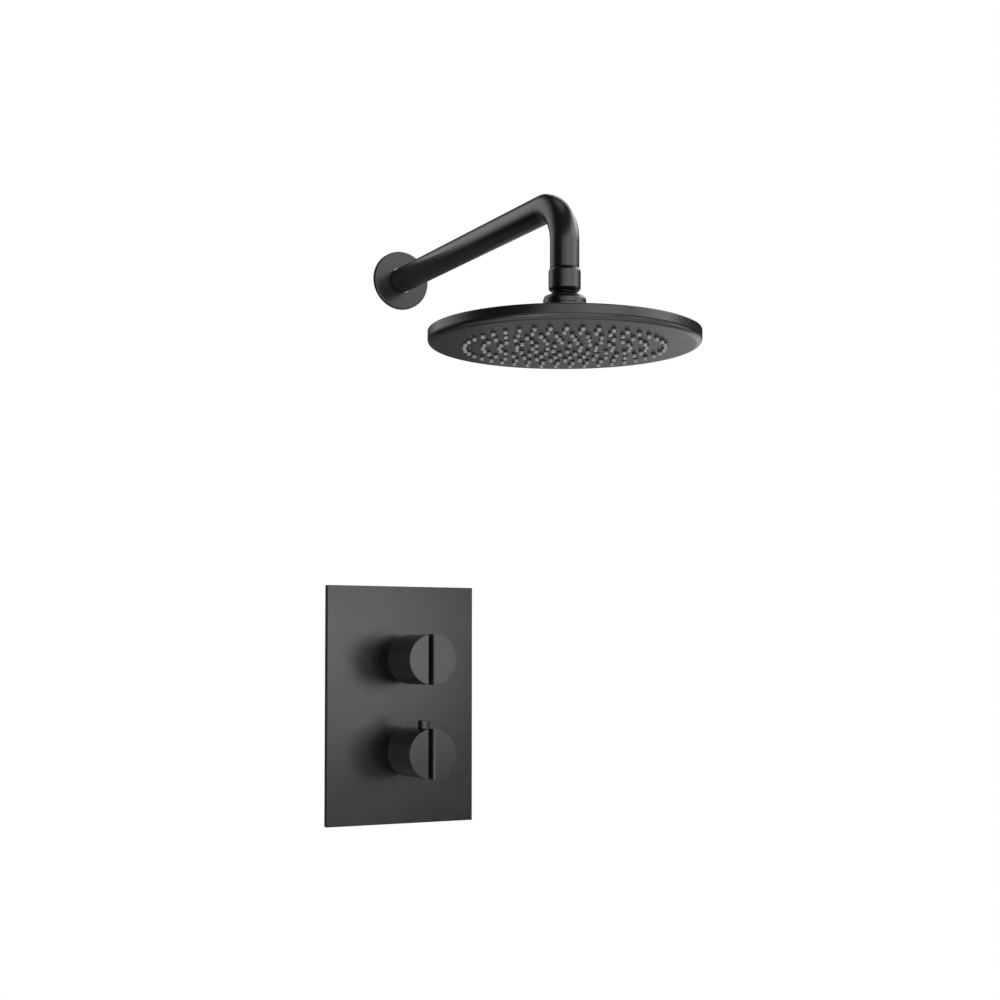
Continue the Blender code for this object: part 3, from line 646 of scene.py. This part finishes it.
def arm_stations():
    """(centre, direction, outer radius, bore) along the arm."""
    along, down = Vector((0, -1, 0)), Vector((0, 0, -1))
    front = Vector((0, 0.004, 0))  # where the thread ends, just inside the wall
    stations = list(threaded(Vector((0, ARM_BACK, 0)), front, BACK_RIDGES, along))
    stations.append((front, along, ARM_RADIUS, ARM_BORE))
    corner = Vector((0, HEAD_Y + BEND, 0))
    straight_steps, bend_steps = 8, 40
    for i in range(1, straight_steps):
        centre = front + (corner - front) * i / straight_steps
        stations.append((centre, along, ARM_RADIUS, ARM_BORE))
    for i in range(bend_steps + 1):
        a = math.pi / 2 * i / bend_steps
        centre = corner + BEND * (along * math.sin(a) + down * (1 - math.cos(a)))
        direction = along * math.cos(a) + down * math.sin(a)
        stations.append((centre, direction, ARM_RADIUS, ARM_BORE))
    gap, chamfer = 0.0003, 0.0004
    shoulder = Vector((0, HEAD_Y, NUT_Z[1] + gap - ARM_Z))
    stations.append((shoulder - down * chamfer, down, ARM_RADIUS, ARM_BORE))
    stations.append((shoulder, down, ARM_RADIUS - chamfer, ARM_BORE))
    end = Vector((0, HEAD_Y, ARM_END - ARM_Z))
    stations += threaded(shoulder, end, END_RIDGES, down)
    return stations


def make_arm():
    sides = 96
    bm = bmesh.new()
    outer, inner = [], []
    side = Vector((1, 0, 0))
    for centre, direction, radius, bore in arm_stations():
        other = direction.cross(side)
        for rings, r in ((outer, radius), (inner, bore)):
            ring = []
            for i in range(sides):
                a = 2 * math.pi * i / sides
                ring.append(bm.verts.new(centre + r * (math.cos(a) * side + math.sin(a) * other)))
            rings.append(ring)
    loop = outer + inner[::-1]
    for first, second in zip(loop, loop[1:] + loop[:1]):
        for i in range(sides):
            k = (i + 1) % sides
            bm.faces.new((first[i], first[k], second[k], second[i]))
    arm = to_object("arm_tube", bm, (0, 0, ARM_Z))
    stands_for(arm, "shower_arm")


def make_flange():
    """A shallow dish with a soft ring round the arm behind it."""
    hole = ARM_RADIUS + 0.0004
    front, face = FLANGE_FRONT, 0.0014
    ring_room, nick = 0.0019, 0.0003
    at = (0, 0, ARM_Z)
    flange = turned(
        "flange_disc",
        [
            (FLANGE_RADIUS - nick, 0.0),
            (FLANGE_RADIUS, -nick),
            (FLANGE_RADIUS, front, 0.0011),
            (hole, front, 0.0004),
            (hole, front + face),
            (hole + ring_room, front + face),
            (hole + ring_room, 0.0),
        ],
        "Y",
        at,
        160,
    )
    stands_for(flange, "wall_flange")
    seal = torus("flange_ring", hole + ring_room / 2, 0.0008, -0.0025, "Y", at)
    stands_for(seal, "flange_seal")


SIDES = ((-1, "left"), (1, "right"))
EAR_SCREW_X = 0.0285


def make_drop_elbow():
    """Casting that holds the arm's thread in front and the riser's nut below."""
    at = (0, 0, ARM_Z)
    down = (0, RISER_Y, ARM_Z)
    front, back, radius, screw = 0.0046, 0.0570, 0.0150, 0.0026
    casting = [(0, front), (radius, front, 0.0008), (radius, back, 0.004), (0, back)]
    elbow = turned("elbow_casting", casting, "Y", at, 72)
    ears = block("ears", (-0.036, 0.0200, -0.0095), (0.036, 0.0250, 0.0095), at)
    soften(ears, 0.003, 5)
    join(
        elbow,
        rod("leg", 0.0130, -0.0380, 0.0030, "Z", down, 70),
        rod("leg_end", 0.0117, -0.0480, -0.0370, "Z", down, 66),
        ears,
    )
    cut(
        elbow,
        rod("thread", 0.0105, 0.0040, 0.0285, "Y", at, 62),
        rod("chamber", 0.0085, 0.0280, 0.0520, "Y", at, 54),
        rod("passage", 0.0062, -0.0400, 0.0020, "Z", down, 50),
        rod("socket", 0.0078, -0.0490, -0.0360, "Z", down, 58),
        rod("left_hole", screw, 0.0190, 0.0260, "Y", (-EAR_SCREW_X, 0, ARM_Z), 32),
        rod("right_hole", screw, 0.0190, 0.0260, "Y", (EAR_SCREW_X, 0, ARM_Z), 32),
    )
    stands_for(soften(elbow, 0.0004, 2), "drop_elbow")
    for side, word in SIDES:
        make_screw("elbow_screw_" + word, (side * EAR_SCREW_X, 0, ARM_Z), 0.0174, 0.0555)


def make_screw(node, at, head_front, tip):
    """A round-headed screw with a cross recess, driven along +Y."""
    head, shaft, root = 0.0045, 0.0020, 0.0016
    under = head_front + 0.0022
    points = [(0, head_front), (0.0028, head_front + 0.0003, 0.001)]
    points += [(head, under - 0.0004, 0.0006), (head, under), (shaft - 0.0003, under)]
    plain, pitch, point = 0.001, 0.0016, 0.004
    for i in range(int((tip - under - point) / pitch)):
        foot = under + plain + i * pitch
        points += [(root, foot), (shaft, foot + 0.4 * pitch)]
        points += [(shaft, foot + 0.5 * pitch), (root, foot + 0.9 * pitch)]
    points += [(0.0006, tip - 0.0004), (0, tip)]
    screw = turned(node + "_shank", points, "Y", at, 40)
    outside, floor = head_front - 0.001, head_front + 0.0013
    long, thin = 0.0020, 0.0004
    cross = block("cross_a", (-long, outside, -thin), (long, floor, thin), at)
    other = block("cross_b", (-thin, outside, -long), (thin, floor, long), at)
    stands_for(cut(screw, cross, other), node)


# ---------------------------------------------------------------- ball joint


def make_ball_joint():
    at = (0, HEAD_Y, 0)
    lip, bore, ledge = 0.0086, 0.0106, 0.3600
    bottom, top = NUT_Z
    nut = turned(
        "nut_body",
        [
            (lip, bottom, 0.0003),
            (NUT_RADIUS - 0.0016, bottom, 0.0004),
            (NUT_RADIUS, bottom + 0.0018, 0.0005),
            (NUT_RADIUS, top - 0.0022, 0.0005),
            (ARM_RADIUS + 0.0003, top, 0.0003),
            (bore, top, 0.0003),
            (bore, ledge),
            (lip, ledge),
        ],
        "Z",
        at,
        120,
    )
    stands_for(nut, "connector_nut")
    make_ball(at)
    make_collar(at)


def make_ball(at):
    """Ball with a hollow neck that hangs from the nut's lip by its flange."""
    neck, foot, hollow = 0.0096, 0.0066, 0.0050
    neck_top, groove, flange = 0.3552, 0.0082, 0.0098
    flange_low, flange_top = 0.3603, 0.3625
    first, last = -math.acos(foot / BALL_RADIUS), math.acos(neck / BALL_RADIUS)
    arc = 30
    points = [(hollow, BALL_Z + BALL_RADIUS * math.sin(first), 0.0004)]
    for i in range(arc + 1):
        a = first + (last - first) * i / arc
        points.append((BALL_RADIUS * math.cos(a), BALL_Z + BALL_RADIUS * math.sin(a)))
    points += [
        (neck, neck_top, 0.0006),
        (groove, neck_top, 0.0003),
        (groove, flange_low),
        (flange, flange_low, 0.0003),
        (flange, flange_top, 0.0003),
        (hollow, flange_top, 0.0003),
    ]
    stands_for(turned("ball_stem", points, "Z", at, 112), "swivel_ball")


def make_collar(at):
    """Ring that screws into the head's neck and holds the ball from above."""
    low, high = COLLAR_Z
    socket = BALL_RADIUS + 0.0004
    mouth, spigot = 0.0131, 0.0164
    skirt_low, skirt_high = 0.3443, 0.3484
    points = [
        (socket, low),
        (spigot, low),
        (spigot, skirt_low),
        (COLLAR_RADIUS, skirt_low, 0.0001),
        (COLLAR_RADIUS, skirt_high, 0.0004),
        (COLLAR_RADIUS - 0.0011, high - 0.0011, 0.0004),
        (COLLAR_RADIUS - 0.0036, high, 0.0005),
        (mouth, high, 0.0003),
    ]
    arc = 10
    top = math.acos(mouth / socket)
    for i in range(arc + 1):
        a = top * (1 - i / arc)
        points.append((socket * math.cos(a), BALL_Z + socket * math.sin(a)))
    stands_for(turned("collar_ring", points, "Z", at, 128), "ball_collar")


# ---------------------------------------------------------------- rain head

# radius and number of nozzles of each ring
NOZZLE_RINGS = (
    (0.0146, 7),
    (0.0270, 13),
    (0.0405, 20),
    (0.0551, 27),
    (0.0686, 33),
    (0.0844, 41),
)


def nozzle_places():
    for ring, (radius, count) in enumerate(NOZZLE_RINGS):
        for i in range(count):
            a = 2 * math.pi * (i + 0.5 * (ring % 2)) / count
            yield radius * math.cos(a), radius * math.sin(a)


def make_shell():
    """Thin round cover with a neck that holds the ball's seat and takes the collar."""
    wall, roof, seam, top = 0.0022, 0.0018, 0.3136, 0.3215
    cavity = top - roof
    neck_top, neck_floor, seat_top = 0.3440, 0.3268, 0.3370
    thread, seat, waterway = 0.0167, 0.0156, 0.0062
    shell = turned(
        "shell_cover",
        [
            (waterway, cavity),
            (HEAD_RADIUS - wall, cavity, 0.0006),
            (HEAD_RADIUS - wall, seam, 0.0003),
            (HEAD_RADIUS, seam, 0.0004),
            (HEAD_RADIUS, top, 0.0011),
            (COLLAR_RADIUS, top, 0.0010),
            (COLLAR_RADIUS, neck_top, 0.0001),
            (thread, neck_top, 0.0002),
            (thread, seat_top),
            (seat, seat_top),
            (seat, neck_floor),
            (waterway, neck_floor),
        ],
        "Z",
        (0, HEAD_Y, 0),
        256,
    )
    stands_for(shell, "head_shell")


def loop_at(bm, radius, sides, x, y, z):
    """A ring of corners and the edges between them."""
    ring = []
    for i in range(sides):
        a = 2 * math.pi * i / sides
        ring.append(bm.verts.new((x + radius * math.cos(a), y + radius * math.sin(a), z)))
    return ring, [bm.edges.new((ring[i], ring[(i + 1) % sides])) for i in range(sides)]


def skin(bm, first, second):
    for i in range(len(first)):
        k = (i + 1) % len(first)
        bm.faces.new((first[i], first[k], second[k], second[i]))


def skin_rings(bm, levels, sides, x=0.0, y=0.0):
    """Rings of (radius, height), skinned in turn. Returns the first and the last."""
    loops = [loop_at(bm, r, sides, x, y, z) for r, z in levels]
    for (low, _), (high, _) in zip(loops, loops[1:]):
        skin(bm, low, high)
    return loops[0], loops[-1]


def make_face_plate():
    """Spray face with a rolled edge, a spigot inside the shell and a hole per nozzle."""
    low, seam, spigot_top = FACE_Z, 0.3133, 0.3165
    edge = HEAD_RADIUS - 0.0001
    spigot, inside = HEAD_RADIUS - 0.0025, HEAD_RADIUS - 0.0043
    top, hole, lead = 0.3120, 0.0024, 0.0003
    roll, steps = HEAD_RADIUS - 0.0060, 12
    levels = []
    for i in range(steps + 1):
        a = math.pi / 2 * i / steps
        levels.append((roll + (edge - roll) * math.sin(a), seam - (seam - low) * math.cos(a)))
    levels += [(spigot, seam), (spigot, spigot_top), (inside, spigot_top), (inside, top)]
    bm = bmesh.new()
    first, last = skin_rings(bm, levels, 256)
    bottom, upper = list(first[1]), list(last[1])
    for x, y in nozzle_places():
        rim = [(hole, top), (hole, low + lead), (hole + lead, low)]
        inner, outer = skin_rings(bm, rim, 20, x, y)
        upper += inner[1]
        bottom += outer[1]
    bmesh.ops.triangle_fill(bm, edges=bottom, use_beauty=True)
    bmesh.ops.triangle_fill(bm, edges=upper, use_beauty=True)
    plate = to_object("spray_face", bm, (0, HEAD_Y, 0))
    stands_for(plate, "face_plate")


def make_nozzle_mat():
    """Sheet with tapered nozzles, each with a round lip and a small hole in its tip."""
    low, high, tip = 0.3123, 0.3138, NOZZLE_TIP
    sheet, root = 0.0980, 0.00190
    bm = bmesh.new()
    under, over = skin_rings(bm, [(sheet, low), (sheet, high)], 160)
    bm.faces.new(over[0])
    shape = [
        (root, low),
        (root * 0.98, 0.3100),
        (root * 0.90, tip + 0.0007),
        (root * 0.84, tip + 0.0002),
        (root * 0.70, tip),
        (root * 0.42, tip),
        (root * 0.34, tip + 0.0004),
        (root * 0.30, tip + 0.0026),
    ]
    edges = list(under[1])
    for x, y in nozzle_places():
        base, end = skin_rings(bm, shape, 20, x, y)
        bm.faces.new(end[0])
        edges += base[1]
    bmesh.ops.triangle_fill(bm, edges=edges, use_beauty=True)
    mat = to_object("nozzle_sheet", bm, (0, HEAD_Y, 0))
    stands_for(mat, "nozzle_mat")


# ---------------------------------------------------------------- trim plate


def make_trim_plate():
    """A shallow pan against the wall, with a foam gasket behind its face."""
    low = (PLATE_X[0], PLATE_Y[0], PLATE_Z[0])
    high = (PLATE_X[1], 0.0, PLATE_Z[1])
    wall, sheet, past = 0.0016, 0.0020, 0.01
    plate = block("plate_pan", low, high)
    hollow = block(
        "hollow",
        (PLATE_X[0] + wall, PLATE_Y[0] + sheet, PLATE_Z[0] + wall),
        (PLATE_X[1] - wall, past, PLATE_Z[1] - wall),
    )
    radius = SLEEVE_RADIUS + 0.0006
    cut(
        plate,
        hollow,
        rod("flow_hole", radius, -past, past, "Y", (0, 0, FLOW_Z), 96),
        rod("temperature_hole", radius, -past, past, "Y", (0, 0, TEMPERATURE_Z), 96),
    )
    stands_for(soften(plate, 0.0003, 3), "trim_plate")
    back = PLATE_Y[0] + sheet + 0.0003
    inset, opening = 0.0022, 0.0245
    gasket = block(
        "foam_sheet",
        (PLATE_X[0] + inset, back, PLATE_Z[0] + inset),
        (PLATE_X[1] - inset, 0.0, PLATE_Z[1] - inset),
    )
    cut(
        gasket,
        rod("flow_opening", opening, -past, past, "Y", (0, 0, FLOW_Z), 96),
        rod("temperature_opening", opening, -past, past, "Y", (0, 0, TEMPERATURE_Z), 96),
    )
    stands_for(soften(gasket, 0.0006, 3), "plate_gasket")


# ---------------------------------------------------------------- knobs

SLOT_LEFT = -0.0050
SLOT_RIGHT = -0.0006
SLOT_DEPTH = 0.010
SLOT_HALF = 0.03  # longer than the knob is wide, so the slot runs right across it
SLOT_EASE = 0.0041
SLOT_EASE_STEPS = 14


def make_slot(at):
    """Cutter for the slot: a sharp left lip, and a right lip that rolls over into it."""
    outside, floor = KNOB_FRONT - 0.01, KNOB_FRONT + SLOT_DEPTH
    section = [(SLOT_LEFT, outside), (SLOT_LEFT, floor), (SLOT_RIGHT, floor)]
    centre_x, centre_y = SLOT_RIGHT + SLOT_EASE, KNOB_FRONT + SLOT_EASE
    for i in range(SLOT_EASE_STEPS):
        a = math.pi / 2 * i / SLOT_EASE_STEPS
        section.append((centre_x - SLOT_EASE * math.cos(a), centre_y - SLOT_EASE * math.sin(a)))
    section.append((centre_x, outside))
    bm = bmesh.new()
    under = [bm.verts.new((x, y, -SLOT_HALF)) for x, y in section]
    over = [bm.verts.new((x, y, SLOT_HALF)) for x, y in section]
    skin(bm, under, over)
    bm.faces.new(under)
    bm.faces.new(over)
    return to_object("slot", bm, at)


def make_knob(node, z, with_button):
    """Knob with a stepped hollow from behind and a hole for its grub screw."""
    at = (0, 0, z)
    mouth, inside, socket = 0.0172, 0.0155, 0.0099
    step, floor, seat = -0.0370, -0.0655, -0.0670
    knob = turned(
        node + "_body",
        [
            (0, KNOB_FRONT),
            (KNOB_RADIUS, KNOB_FRONT),
            (KNOB_RADIUS, KNOB_BACK),
            (mouth, KNOB_BACK),
            (mouth, step),
            (inside, step),
            (inside, floor),
            (socket, floor),
            (socket, seat),
            (0, seat),
        ],
        "Y",
        at,
        144,
    )
    hole_at = (0, -0.0605, z)
    cutters = [make_slot(at), rod("grub_hole", 0.0024, -0.0300, -0.0150, "Z", hole_at, 40)]
    if with_button:
        bore_at = (BUTTON_X, BUTTON_Y, z)
        cutters.append(rod("bore", BUTTON_RADIUS + 0.0003, 0.0170, 0.0300, "Z", bore_at, 60))
        cutters.append(rod("pin_bore", 0.0018, 0.0150, 0.0180, "Z", bore_at, 30))
    cut(knob, *cutters)
    stands_for(soften(knob, 0.0004, 3), node)


def make_button():
    """Cap with a groove round its back for the spring, and a pin."""
    cap_low, groove_top, pin_low = 0.0196, 0.0268, 0.0147
    hollow, pin = 0.0047, 0.0015
    button = turned(
        "button_cap",
        [
            (0, BUTTON_TOP),
            (BUTTON_RADIUS, BUTTON_TOP, 0.0005),
            (BUTTON_RADIUS, cap_low, 0.0003),
            (hollow, cap_low, 0.0002),
            (hollow, groove_top),
            (pin, groove_top),
            (pin, pin_low, 0.0003),
            (0, pin_low),
        ],
        "Z",
        (BUTTON_X, BUTTON_Y, TEMPERATURE_Z),
        72,
    )
    stands_for(button, "stop_button")


def make_sleeve(word, z):
    """Short tube between plate and knob, with a soft ring round its foot."""
    low, high = SLEEVE_Y
    bore = 0.0136
    sleeve = turned(
        word + "_neck",
        [
            (bore, low, 0.0003),
            (SLEEVE_RADIUS, low, 0.0004),
            (SLEEVE_RADIUS, high, 0.0003),
            (bore, high, 0.0003),
        ],
        "Y",
        (0, 0, z),
        120,
    )
    stands_for(sleeve, word + "_sleeve")
    seal = torus(word + "_ring", SLEEVE_RADIUS + 0.0017, 0.0010, -0.0035, "Y", (0, 0, z))
    stands_for(seal, word + "_sleeve_seal")


# ---------------------------------------------------------------- concealed valve


def hexagon(name, across_flats, low, high, axis, at):
    """A solid six-sided prism whose corners are turned down to a chamfer at both ends."""
    corner = across_flats / math.sqrt(3)
    bm = bmesh.new()
    add_turned(bm, [(0, low), (corner, low), (corner, high), (0, high)], axis, (0, 0, 0), 6)
    prism = to_object(name, bm, at)
    flat, outside = across_flats / 2, corner + 0.0002
    drop = (corner - flat) * 0.6
    round_off = turned(
        name + "_lathe",
        [
            (0, low),
            (flat, low),
            (outside, low + drop),
            (outside, high - drop),
            (flat, high),
            (0, high),
        ],
        axis,
        at,
        90,
    )
    return combine(prism, "INTERSECT", [round_off])


NUT_FLATS = 0.0270
NUT_THREAD, NUT_PIPE_HOLE = 0.0121, 0.0077


def make_compression_nut(node, axis, at, mouth, shoulder, end):
    """A hexagon nut, threaded from its mouth to its shoulder and holed to its end."""
    low, high = sorted((mouth, end))
    nut = hexagon(node + "_body", NUT_FLATS, low, high, axis, at)
    before_mouth = mouth + (-0.003 if end > mouth else 0.003)
    bore_low, bore_high = sorted((before_mouth, shoulder))
    past = 0.002
    cut(
        nut,
        rod("thread", NUT_THREAD, bore_low, bore_high, axis, at, 64),
        rod("pipe_hole", NUT_PIPE_HOLE, low - past, high + past, axis, at, 58),
    )
    stands_for(soften(nut, 0.0003, 2), node)


def make_cartridge_nut(word, z):
    """Threaded neck with a hexagon round it."""
    at = (0, 0, z)
    bore, neck, thread, groove = 0.0080, 0.0132, 0.0156, 0.0150
    front, shoulder, back = -0.0040, 0.0075, 0.0197
    nut = turned(
        word + "_nut_thread",
        [
            (bore, front, 0.0003),
            (neck, front, 0.0004),
            (neck, shoulder),
            (groove, shoulder),
            (groove, 0.0140),
            (thread, 0.0148),
            (thread, 0.0190),
            (groove, back),
            (bore, back),
        ],
        "Y",
        at,
        84,
    )
    collar = hexagon("hex", 0.0350, 0.0062, 0.0137, "Y", at)
    cut(collar, rod("hex_hole", 0.0100, 0.0, 0.02, "Y", at, 78))
    join(nut, collar)
    stands_for(soften(nut, 0.0002, 2), word + "_cartridge_nut")


LUG_SCREW_X = 0.0235


def make_valve_body():
    """Brass casting: a pocket per cartridge, two inlets, an outlet and a lug on each side."""
    upper, lower = (0, 0, FLOW_Z), (0, 0, TEMPERATURE_Z)
    inlet_at, outlet_at = (0, RISER_Y, TEMPERATURE_Z), (0, RISER_Y, 0)
    front, back, radius = 0.0140, 0.0650, 0.0200
    boss, thread = 0.0145, 0.0117
    cartridge, port, check_valve, screw = 0.0160, 0.0055, 0.0095, 0.0024
    pocket = [(0, front), (radius, front, 0.0006), (radius, back, 0.0030), (0, back)]
    body = turned("valve_casting", pocket, "Y", upper, 80)
    waterway = block("waterway", (-0.0140, 0.0300, -0.0460), (0.0140, 0.0600, 0.0460))
    lug = block("lug", (-0.0300, 0.0480, -0.0080), (0.0300, 0.0676, 0.0080))
    soften(waterway, 0.004, 5)
    soften(lug, 0.0015, 3)
    join(
        body,
        turned("lower_pocket", pocket, "Y", lower, 80),
        waterway,
        lug,
        rod("inlets", boss, -0.0500, 0.0500, "X", inlet_at, 72),
        rod("inlet_threads", thread, -0.0600, 0.0600, "X", inlet_at, 66),
        rod("outlet", boss, 0.0400, 0.0760, "Z", outlet_at, 74),
        rod("outlet_thread", thread, 0.0400, 0.0860, "Z", outlet_at, 68),
    )
    cut(
        body,
        rod("upper_bore", cartridge, 0.0100, 0.0500, "Y", upper, 76),
        rod("lower_bore", cartridge, 0.0100, 0.0600, "Y", lower, 76),
        rod("passage", port, -0.0460, 0.0460, "Z", (0, 0.0540, 0), 40),
        rod("upper_port", port, 0.0480, 0.0560, "Y", upper, 42),
        rod("hot_bore", check_valve, -0.0620, -0.0270, "X", inlet_at, 60),
        rod("cold_bore", check_valve, 0.0270, 0.0620, "X", inlet_at, 60),
        rod("inlet_ports", 0.0050, -0.0300, 0.0300, "X", inlet_at, 44),
        rod("outlet_bore", 0.0078, 0.0765, 0.0900, "Z", outlet_at, 56),
        rod("outlet_port", 0.0060, 0.0560, 0.0780, "Z", outlet_at, 46),
        rod("left_hole", screw, 0.0460, 0.0700, "Y", (-LUG_SCREW_X, 0, 0), 30),
        rod("right_hole", screw, 0.0460, 0.0700, "Y", (LUG_SCREW_X, 0, 0), 30),
    )
    stands_for(soften(body, 0.0004, 2), "valve_body")


def make_pipework():
    """The riser and the nuts on its ends and on the inlets."""
    at = (0, RISER_Y, 0)
    low, high = span("riser_pipe", Z)
    radius, wall = radius_of("riser_pipe"), 0.001
    points = [(radius - wall, low, 0.0002), (radius, low, 0.0004)]
    points += [(radius, high, 0.0004), (radius - wall, high, 0.0002)]
    stands_for(turned("riser_tube", points, "Z", at, 64), "riser_pipe")
    make_compression_nut("riser_lower_nut", "Z", at, 0.0775, 0.0863, 0.0920)
    make_compression_nut("riser_upper_nut", "Z", at, 0.3945, 0.3857, 0.3800)
    inlet_at = (0, RISER_Y, TEMPERATURE_Z)
    make_compression_nut("hot_inlet_nut", "X", inlet_at, -0.0515, -0.0603, -0.0660)
    make_compression_nut("cold_inlet_nut", "X", inlet_at, 0.0515, 0.0603, 0.0660)


def soften_corners(obj):
    """Rounds the four edges that run along Y."""
    bm = bmesh.new()
    bm.from_mesh(obj.data)
    edges = []
    for edge in bm.edges:
        run = edge.verts[1].co - edge.verts[0].co
        if abs(run.x) < SAME and abs(run.z) < SAME:
            edges.append(edge)
    bmesh.ops.bevel(bm, geom=edges, offset=0.006, segments=8, profile=0.5, affect="EDGES")
    bm.to_mesh(obj.data)
    bm.free()
    return obj


def make_bracket():
    low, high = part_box("mounting_bracket")
    bracket = soften_corners(block("bracket_plate", tuple(low), tuple(high)))
    front, back = low[Y] - 0.01, high[Y] + 0.01
    holes = []
    for side, word in SIDES:
        for z in (-0.0200, 0.0200):
            at = (side * 0.0500, 0, z)
            holes.append(rod(f"{word}_hole_{z}", 0.0030, front, back, "Y", at, 36))
        at = (side * LUG_SCREW_X, 0, 0)
        holes.append(rod(f"{word}_valve_hole", 0.0025, front, back, "Y", at, 36))
    cut(bracket, *holes)
    stands_for(soften(bracket, 0.0002, 2), "mounting_bracket")
    for side, word in SIDES:
        make_screw("bracket_screw_" + word, (side * LUG_SCREW_X, 0, 0), 0.0455, 0.0696)


# ---------------------------------------------------------------- everything

make_arm()
make_flange()
make_drop_elbow()
make_ball_joint()
make_shell()
make_face_plate()
make_nozzle_mat()
make_trim_plate()
make_knob("flow_knob", FLOW_Z, False)
make_knob("temperature_knob", TEMPERATURE_Z, True)
make_button()
make_sleeve("flow", FLOW_Z)
make_sleeve("temperature", TEMPERATURE_Z)
make_cartridge_nut("flow", FLOW_Z)
make_cartridge_nut("temperature", TEMPERATURE_Z)
make_valve_body()
make_pipework()
make_bracket()

for node, obj in frame["nodes"].items():
    obj.data.materials.clear()
    obj.data.materials.append(MATERIALS[SLOT_OF[node]])
